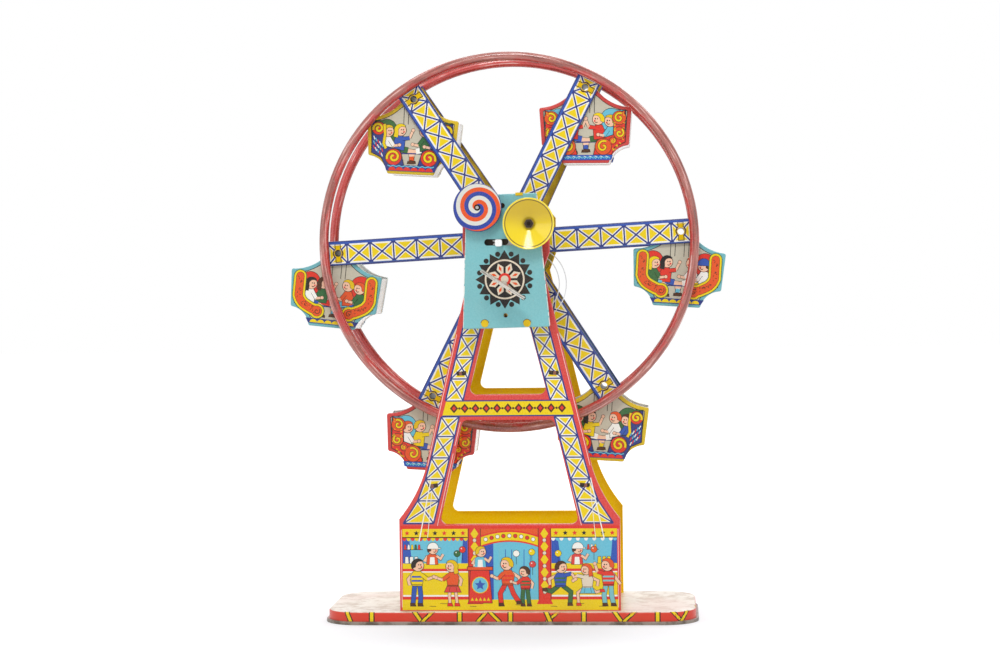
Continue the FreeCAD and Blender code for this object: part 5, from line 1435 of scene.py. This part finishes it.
    def red(self, sheet):
        """Print red sides with orange scrolls, and a blue plinth with waves."""
        lines = (((28.6, -19.0), (28.4, -39.0), 0.6), ((22.4, -27.0), (22.4, -33.0), 0.6),
                 ((26.0, -41.0), (20.0, -47.0), 0.8))
        for side in (-1, 1):
            sheet.outlined(sided(self.red_side, side), "red", "black", 0.5, 16)
            for x, z, radius, hand in ((25.4, -22.8, 5.0, 1), (25.6, -34.2, 4.4, -1),
                                       (13.4, -44.2, 6.0, 1), (20.6, -39.8, 2.4, -1)):
                sheet.outlined(circle(side * x, z, radius, 20), "orange", "brown", 0.45, 18)
                path = volute(side * x, z, radius * 0.76, 90 - 30 * side, hand * side, 1.1, 16)
                widths = (min(2.0, radius * 0.42), min(1.3, radius * 0.28))
                self.scroll(sheet, path, widths, 20)
            self.flecks(sheet, lines, side, "yellow", 26, 0.6, 20, 9)
        sheet.fill(tapered(0, self.foot, -50.4, 19.4, 20.6), "blue", 21)
        for index in range(9):
            x = -16.4 + 4.1 * index
            wave = ((-2.0, -51.5), (-0.6, -53.0), (0.7, -51.7), (2.0, -53.0))
            sheet.stroke(scaled(wave, x, 0, 1), 0.7, "sky", 22)
            sheet.stroke([(x - 1.2, -51.2), (x + 0.3, -51.8)], 0.45, "white", 23)

    def yellow(self, sheet):
        """Print navy sides with red scrolls and coloured dashes, and a scalloped plinth."""
        back = [(21.2, -19.4), (20.4, -27.0), (21.2, -34.0), (19.4, -37.6)]
        for side in (-1, 1):
            sheet.outlined(sided(self.yellow_side, side), "navy", "black", 0.5, 16)
            for row in range(3):
                for index in range(7):
                    x, z = 29.0 - 1.55 * index, -28.6 - 1.35 * index - 3.6 * row
                    if x > 20.6 + 0.9 * row and z > -46.5:
                        colour = ("white", "sky", "red")[(index + row) % 3]
                        sheet.stroke(sided([(x, z), (x - 1.1, z - 2.6)], side), 0.7, colour, 18)
            for x, z, radius in ((25.6, -22.8, 4.7), (13.4, -43.8, 6.0)):
                sheet.outlined(circle(side * x, z, radius, 20), "red", "brown", 0.45, 19)
                path = volute(side * x, z, radius * 0.86, 90 - 110 * side, side, 1.35, 22)
                self.scroll(sheet, path, (2.3, 1.6), 21)
            sheet.limb(sided(back, side), 1.8, "yellow", "brown", 19)
        sheet.fill(tapered(0, self.foot, -49.6, 18.4, 20.0), "navy", 21)
        scallops(sheet, -16.8, 16.8, -53.8, -2.7, ("red",), 22, 6)
        zigzag = [(-17.6 + 2.2 * i, -50.1 - 0.8 * (i % 2)) for i in range(17)]
        sheet.stroke(zigzag, 0.7, "sky", 22)

    def execute(self, context):
        finish = finish_of("printed_ink")
        field = [(x, min(z, self.rail)) for x, z in inset(boat_outline(), self.rim)]
        canopy = [(30.2, -17.0)] + arc(19.4, -23.4, 7.6, 58, 168, 10)
        canopy += [(12.4, -31.0), (30.2, -33.0)]
        for number, border in enumerate(BORDERS, start=1):
            shade, slot = self.designs[border]
            meshes = []
            for side in (-1, 1):
                sheet = Print(on_panel(number, side))
                sheet.fill(field, "black", 1)
                sheet.fill(inset(field, 0.5), "beige", 2)
                for x in (-6.8, 6.8, -3.4, 3.4):
                    sheet.stroke([(x, -5.6), (x, -19.0)], 0.5, "black", 3)
                for end in (1, -1):
                    sheet.outlined(sided(canopy, end), shade, "black", 0.4, 2)
                self.riders(sheet, number * 2 + side)
                getattr(self, border)(sheet)
                meshes.append(sheet.mesh("gondola_print"))
                meshes[-1].materials.append(finish)
            piece(f"gondola_{number}_print", joined(f"gondola_{number}_print", meshes),
                  f"gondola_{number}", finish)
        return {"FINISHED"}


class FERRIS_OT_cover(bpy.types.Operator):
    """Print the rosette on the cover plate and the spiral on its disc"""
    bl_idname = "ferris.cover"
    bl_label = "Cover and disc"
    rosette_height = 255.0                                      # mm
    left_edge = ((-30.75, 219.6), (-27.3, 316.0))               # foot and top, mm
    right_edge = ((32.6, 220.9), (23.6, 317.2))
    ears = ((-14.9, 222.8), (16.0, 222.8))                      # the folded ears' bends, mm
    outer, inner = 17.1, 1.6                                    # the spiral's radii, mm
    pitch = 9.1                                                 # from one turn to the next, mm
    steps = 96                                                  # straight pieces in a turn
    blue_start, orange_start = 1.7, 4.73                        # the bands' first radii, mm

    def rosette(self, sheet):
        """Print a rosette with a scalloped edge and eight petals."""
        x, z = 0.0, self.rosette_height
        sheet.fill(star(x, z, 21.5, 15.5, 12), "black", 1)
        for index in range(12):
            angle = math.radians(30 * index + 15)
            spot = circle(x + 19.0 * math.cos(angle), z + 19.0 * math.sin(angle), 1.9, 12)
            sheet.fill(spot, "black", 2)
        sheet.fill(circle(x, z, 14.6, 40), "cream", 3)
        sheet.fill(circle(x, z, 13.4, 40), "black", 4)
        for index in range(8):
            angle = math.radians(45 * index + 22.5)
            tip = Vector((math.cos(angle), math.sin(angle)))
            side = Vector((-tip.y, tip.x))
            root, belly, end = tip * 4.0, tip * 8.6, tip * 12.6
            petal = (root - side * 0.8, belly - side * 2.7, end, belly + side * 2.7,
                     root + side * 0.8)
            heart = (tip * 6.0, belly - side, tip * 10.6, belly + side)
            for shape, colour, layer in ((petal, "cream", 5), (heart, "orange", 6)):
                sheet.fill(scaled(shape, x, z, 1), colour, layer)
        sheet.fill(circle(x, z, 4.6, 24), "red", 6)
        sheet.fill(circle(x, z, 2.8, 18), "cream", 7)

    def wear(self, sheet):
        """Print the worn pale edges of the cover plate, and painted shade along the bends of its two folded ears.
        """
        chance = random.Random(7)
        for (foot_x, foot_z), (top_x, top_z) in (self.left_edge, self.right_edge):
            z = foot_z
            while z < top_z - 1:
                end = min(z + chance.uniform(2, 11), top_z)
                lean = (top_x - foot_x) / (top_z - foot_z)
                run = [(foot_x + lean * (height - foot_z), height) for height in (z, end)]
                width = chance.uniform(0.25, 0.6)
                sheet.stroke(run, width, "pale" if chance.random() < 0.3 else "white", 1)
                z = end + chance.uniform(0.2, 3.0)
        # Brown arcs of painted shade at the ears' bends.
        for x, z in self.ears:
            sheet.stroke(arc(x, z, 2.8, 10, 170, 12), 0.7, "brown", 2)

    def band(self, sheet, x, z, colour, start):
        """Print one band of the spiral, a third of the pitch wide, in short straight pieces."""
        for lap in range(-1, 2):
            edges = []
            for index in range(self.steps + 1):
                turn = index / self.steps
                way = Vector((math.cos(-math.tau * turn), math.sin(-math.tau * turn)))
                reach = start + self.pitch * (turn + lap)
                near, far = (min(max(radius, self.inner), self.outer)
                             for radius in (reach, reach + self.pitch / 3))
                edges.append((far - near, (x + way.x * near, z + way.y * near),
                              (x + way.x * far, z + way.y * far)))
            for (wide, near, far), (next_wide, next_near, next_far) in zip(edges, edges[1:]):
                if wide > 0.01 and next_wide > 0.01:
                    sheet.fill([near, far, next_far, next_near], colour, 2)

    def execute(self, context):
        finish = finish_of("printed_ink")
        sheet = Print(on_front(COVER_FACE))
        self.rosette(sheet)
        self.wear(sheet)
        piece("cover_print", sheet.mesh("cover_print"), "stand", finish)

        # Painted shade: the tower's face behind the cover plate, seen through its hole and slot, is printed brown.
        shade = Print(on_front(TOWER_FACE))
        shade.fill(tapered(0, 224.0, 298.0, 24.0, 22.0), "brown", 14)
        piece("cover_shade", shade.mesh("cover_shade"), "stand", finish)

        low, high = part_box("spiral_disc")
        middle = (low + high) / (2 * MM)
        sheet = Print(on_front(PLANE - low.y / MM))
        sheet.fill(circle(middle.x, middle.z, self.outer, 64), linear(218, 218, 210), 1)
        for colour, start in ((linear(44, 68, 156), self.blue_start),
                              ("orange", self.orange_start)):
            self.band(sheet, middle.x, middle.z, colour, start)
        sheet.fill(circle(middle.x, middle.z, 2.1, 20), "rust", 3)
        piece("disc_print", sheet.mesh("disc_print"), "spiral_disc_set", finish)
        return {"FINISHED"}


class FERRIS_OT_tray(bpy.types.Operator):
    """Print the trellis on the tray's side"""
    bl_idname = "ferris.tray"
    bl_label = "Tray's trellis"
    half_x, half_y, corner = 137.5, 56.5, 25.0      # the wall's half sizes and corner radius, mm
    foot = 2.45                                     # where the print starts, mm
    fold_start, fold = 7.9, 1.5                     # the wall's top edge is rounded, mm
    rise = 7                                        # height over which a slat leans as listed, mm
    # Where each slat's top and foot are, along the wall from the middle of the front, mm.
    slats = ((-121.5, -118.5), (-102.5, -102.5), (-70.5, -65.5), (-57.5, -64.5), (-37.0, -37.0),
             (-17.5, -23.5), (-14.5, -7.5), (0.6, 0.6), (27.0, 30.0), (35.5, 28.0), (54.8, 54.8),
             (77.5, 82.5), (92.0, 84.5), (109.0, 109.0), (120.5, 127.0), (133.0, 127.5),
             (158.0, 152.0), (161.0, 168.0), (180.0, 180.0))
    stripes, stripe = 5, 0.86                       # a slat's stripes and their pitch, mm

    def around(self, along, up, height):
        """Map a distance along the tray's wall, from the middle of its front, to a place."""
        fold = max(up - self.fold_start, 0) / self.fold
        rise = min(up, self.fold_start) + (self.fold + height) * math.sin(fold)
        height = (self.fold + height) * math.cos(fold) - self.fold
        straight_x, straight_y = self.half_x - self.corner, self.half_y - self.corner
        bend = math.pi * self.corner / 2
        along = (along + straight_x) % self.length()
        turn = 0
        for length in (2 * straight_x, 2 * straight_y) * 2:
            if along <= length + bend:
                break
            along -= length + bend
            turn += 1
        half = (straight_x, straight_y) if turn % 2 == 0 else (straight_y, straight_x)
        if along <= length:
            spot = Vector((along - half[0], -half[1] - self.corner - height))
        else:
            angle = (along - length) / self.corner
            reach = self.corner + height
            spot = Vector((half[0] + reach * math.sin(angle), -half[1] - reach * math.cos(angle)))
        spot = Matrix.Rotation(math.pi / 2 * turn, 2) @ spot
        return point(spot.x, spot.y, rise)

    def length(self):
        """Return the length of the wall all round."""
        straight = self.half_x + self.half_y - 2 * self.corner
        return 4 * straight + math.tau * self.corner

    def execute(self, context):
        heights = [self.foot, 5.2] + [self.fold_start + 0.25 * i for i in range(8)]
        sheet = Print(self.around)
        for shift in (0.0, self.length() / 2):
            for top, bottom in self.slats:
                lean = (top - bottom) / self.rise
                path = [(bottom + shift + lean * (up - self.foot), up) for up in heights]
                for index in range(self.stripes):
                    aside = (index - self.stripes // 2) * self.stripe
                    edge = index in (0, self.stripes - 1)
                    sheet.stroke([(x + aside, up) for x, up in path], self.stripe + 0.04,
                                 "black" if edge else "yellow", 1)
        piece("tray_print", sheet.mesh("tray_print"), "stand",
              finish_of("printed_ink"))
        return {"FINISHED"}


class FERRIS_PT_panel(bpy.types.Panel):
    """Panel that lists the steps"""
    bl_idname = "FERRIS_PT_panel"
    bl_label = "Ferris wheel"
    bl_space_type = "VIEW_3D"
    bl_region_type = "UI"
    bl_category = "Ferris wheel"

    def draw(self, context):
        for step in STEPS:
            self.layout.operator(step.bl_idname)
        for name in FERRIS_PG_sizes.__annotations__:
            self.layout.prop(context.scene.ferris_sizes, name)
        for name in INKS:
            self.layout.prop(context.scene.ferris_inks, name)


STEPS = (FERRIS_OT_stage, FERRIS_OT_finishes, FERRIS_OT_tray, FERRIS_OT_towers, FERRIS_OT_spokes,
         FERRIS_OT_gondolas, FERRIS_OT_cover)
CLASSES = (FERRIS_PG_inks, FERRIS_PG_sizes, FERRIS_PT_panel) + STEPS


def register():
    for made in CLASSES:
        bpy.utils.register_class(made)
    bpy.types.Scene.ferris_inks = bpy.props.PointerProperty(type=FERRIS_PG_inks)
    bpy.types.Scene.ferris_sizes = bpy.props.PointerProperty(type=FERRIS_PG_sizes)


def unregister():
    del bpy.types.Scene.ferris_sizes
    del bpy.types.Scene.ferris_inks
    for made in reversed(CLASSES):
        bpy.utils.unregister_class(made)


def main():
    """Register the steps and run them in order."""
    register()
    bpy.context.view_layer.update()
    for step in STEPS:
        group, name = step.bl_idname.split(".")
        getattr(getattr(bpy.ops, group), name)()


if __name__ == "__main__":
    main()
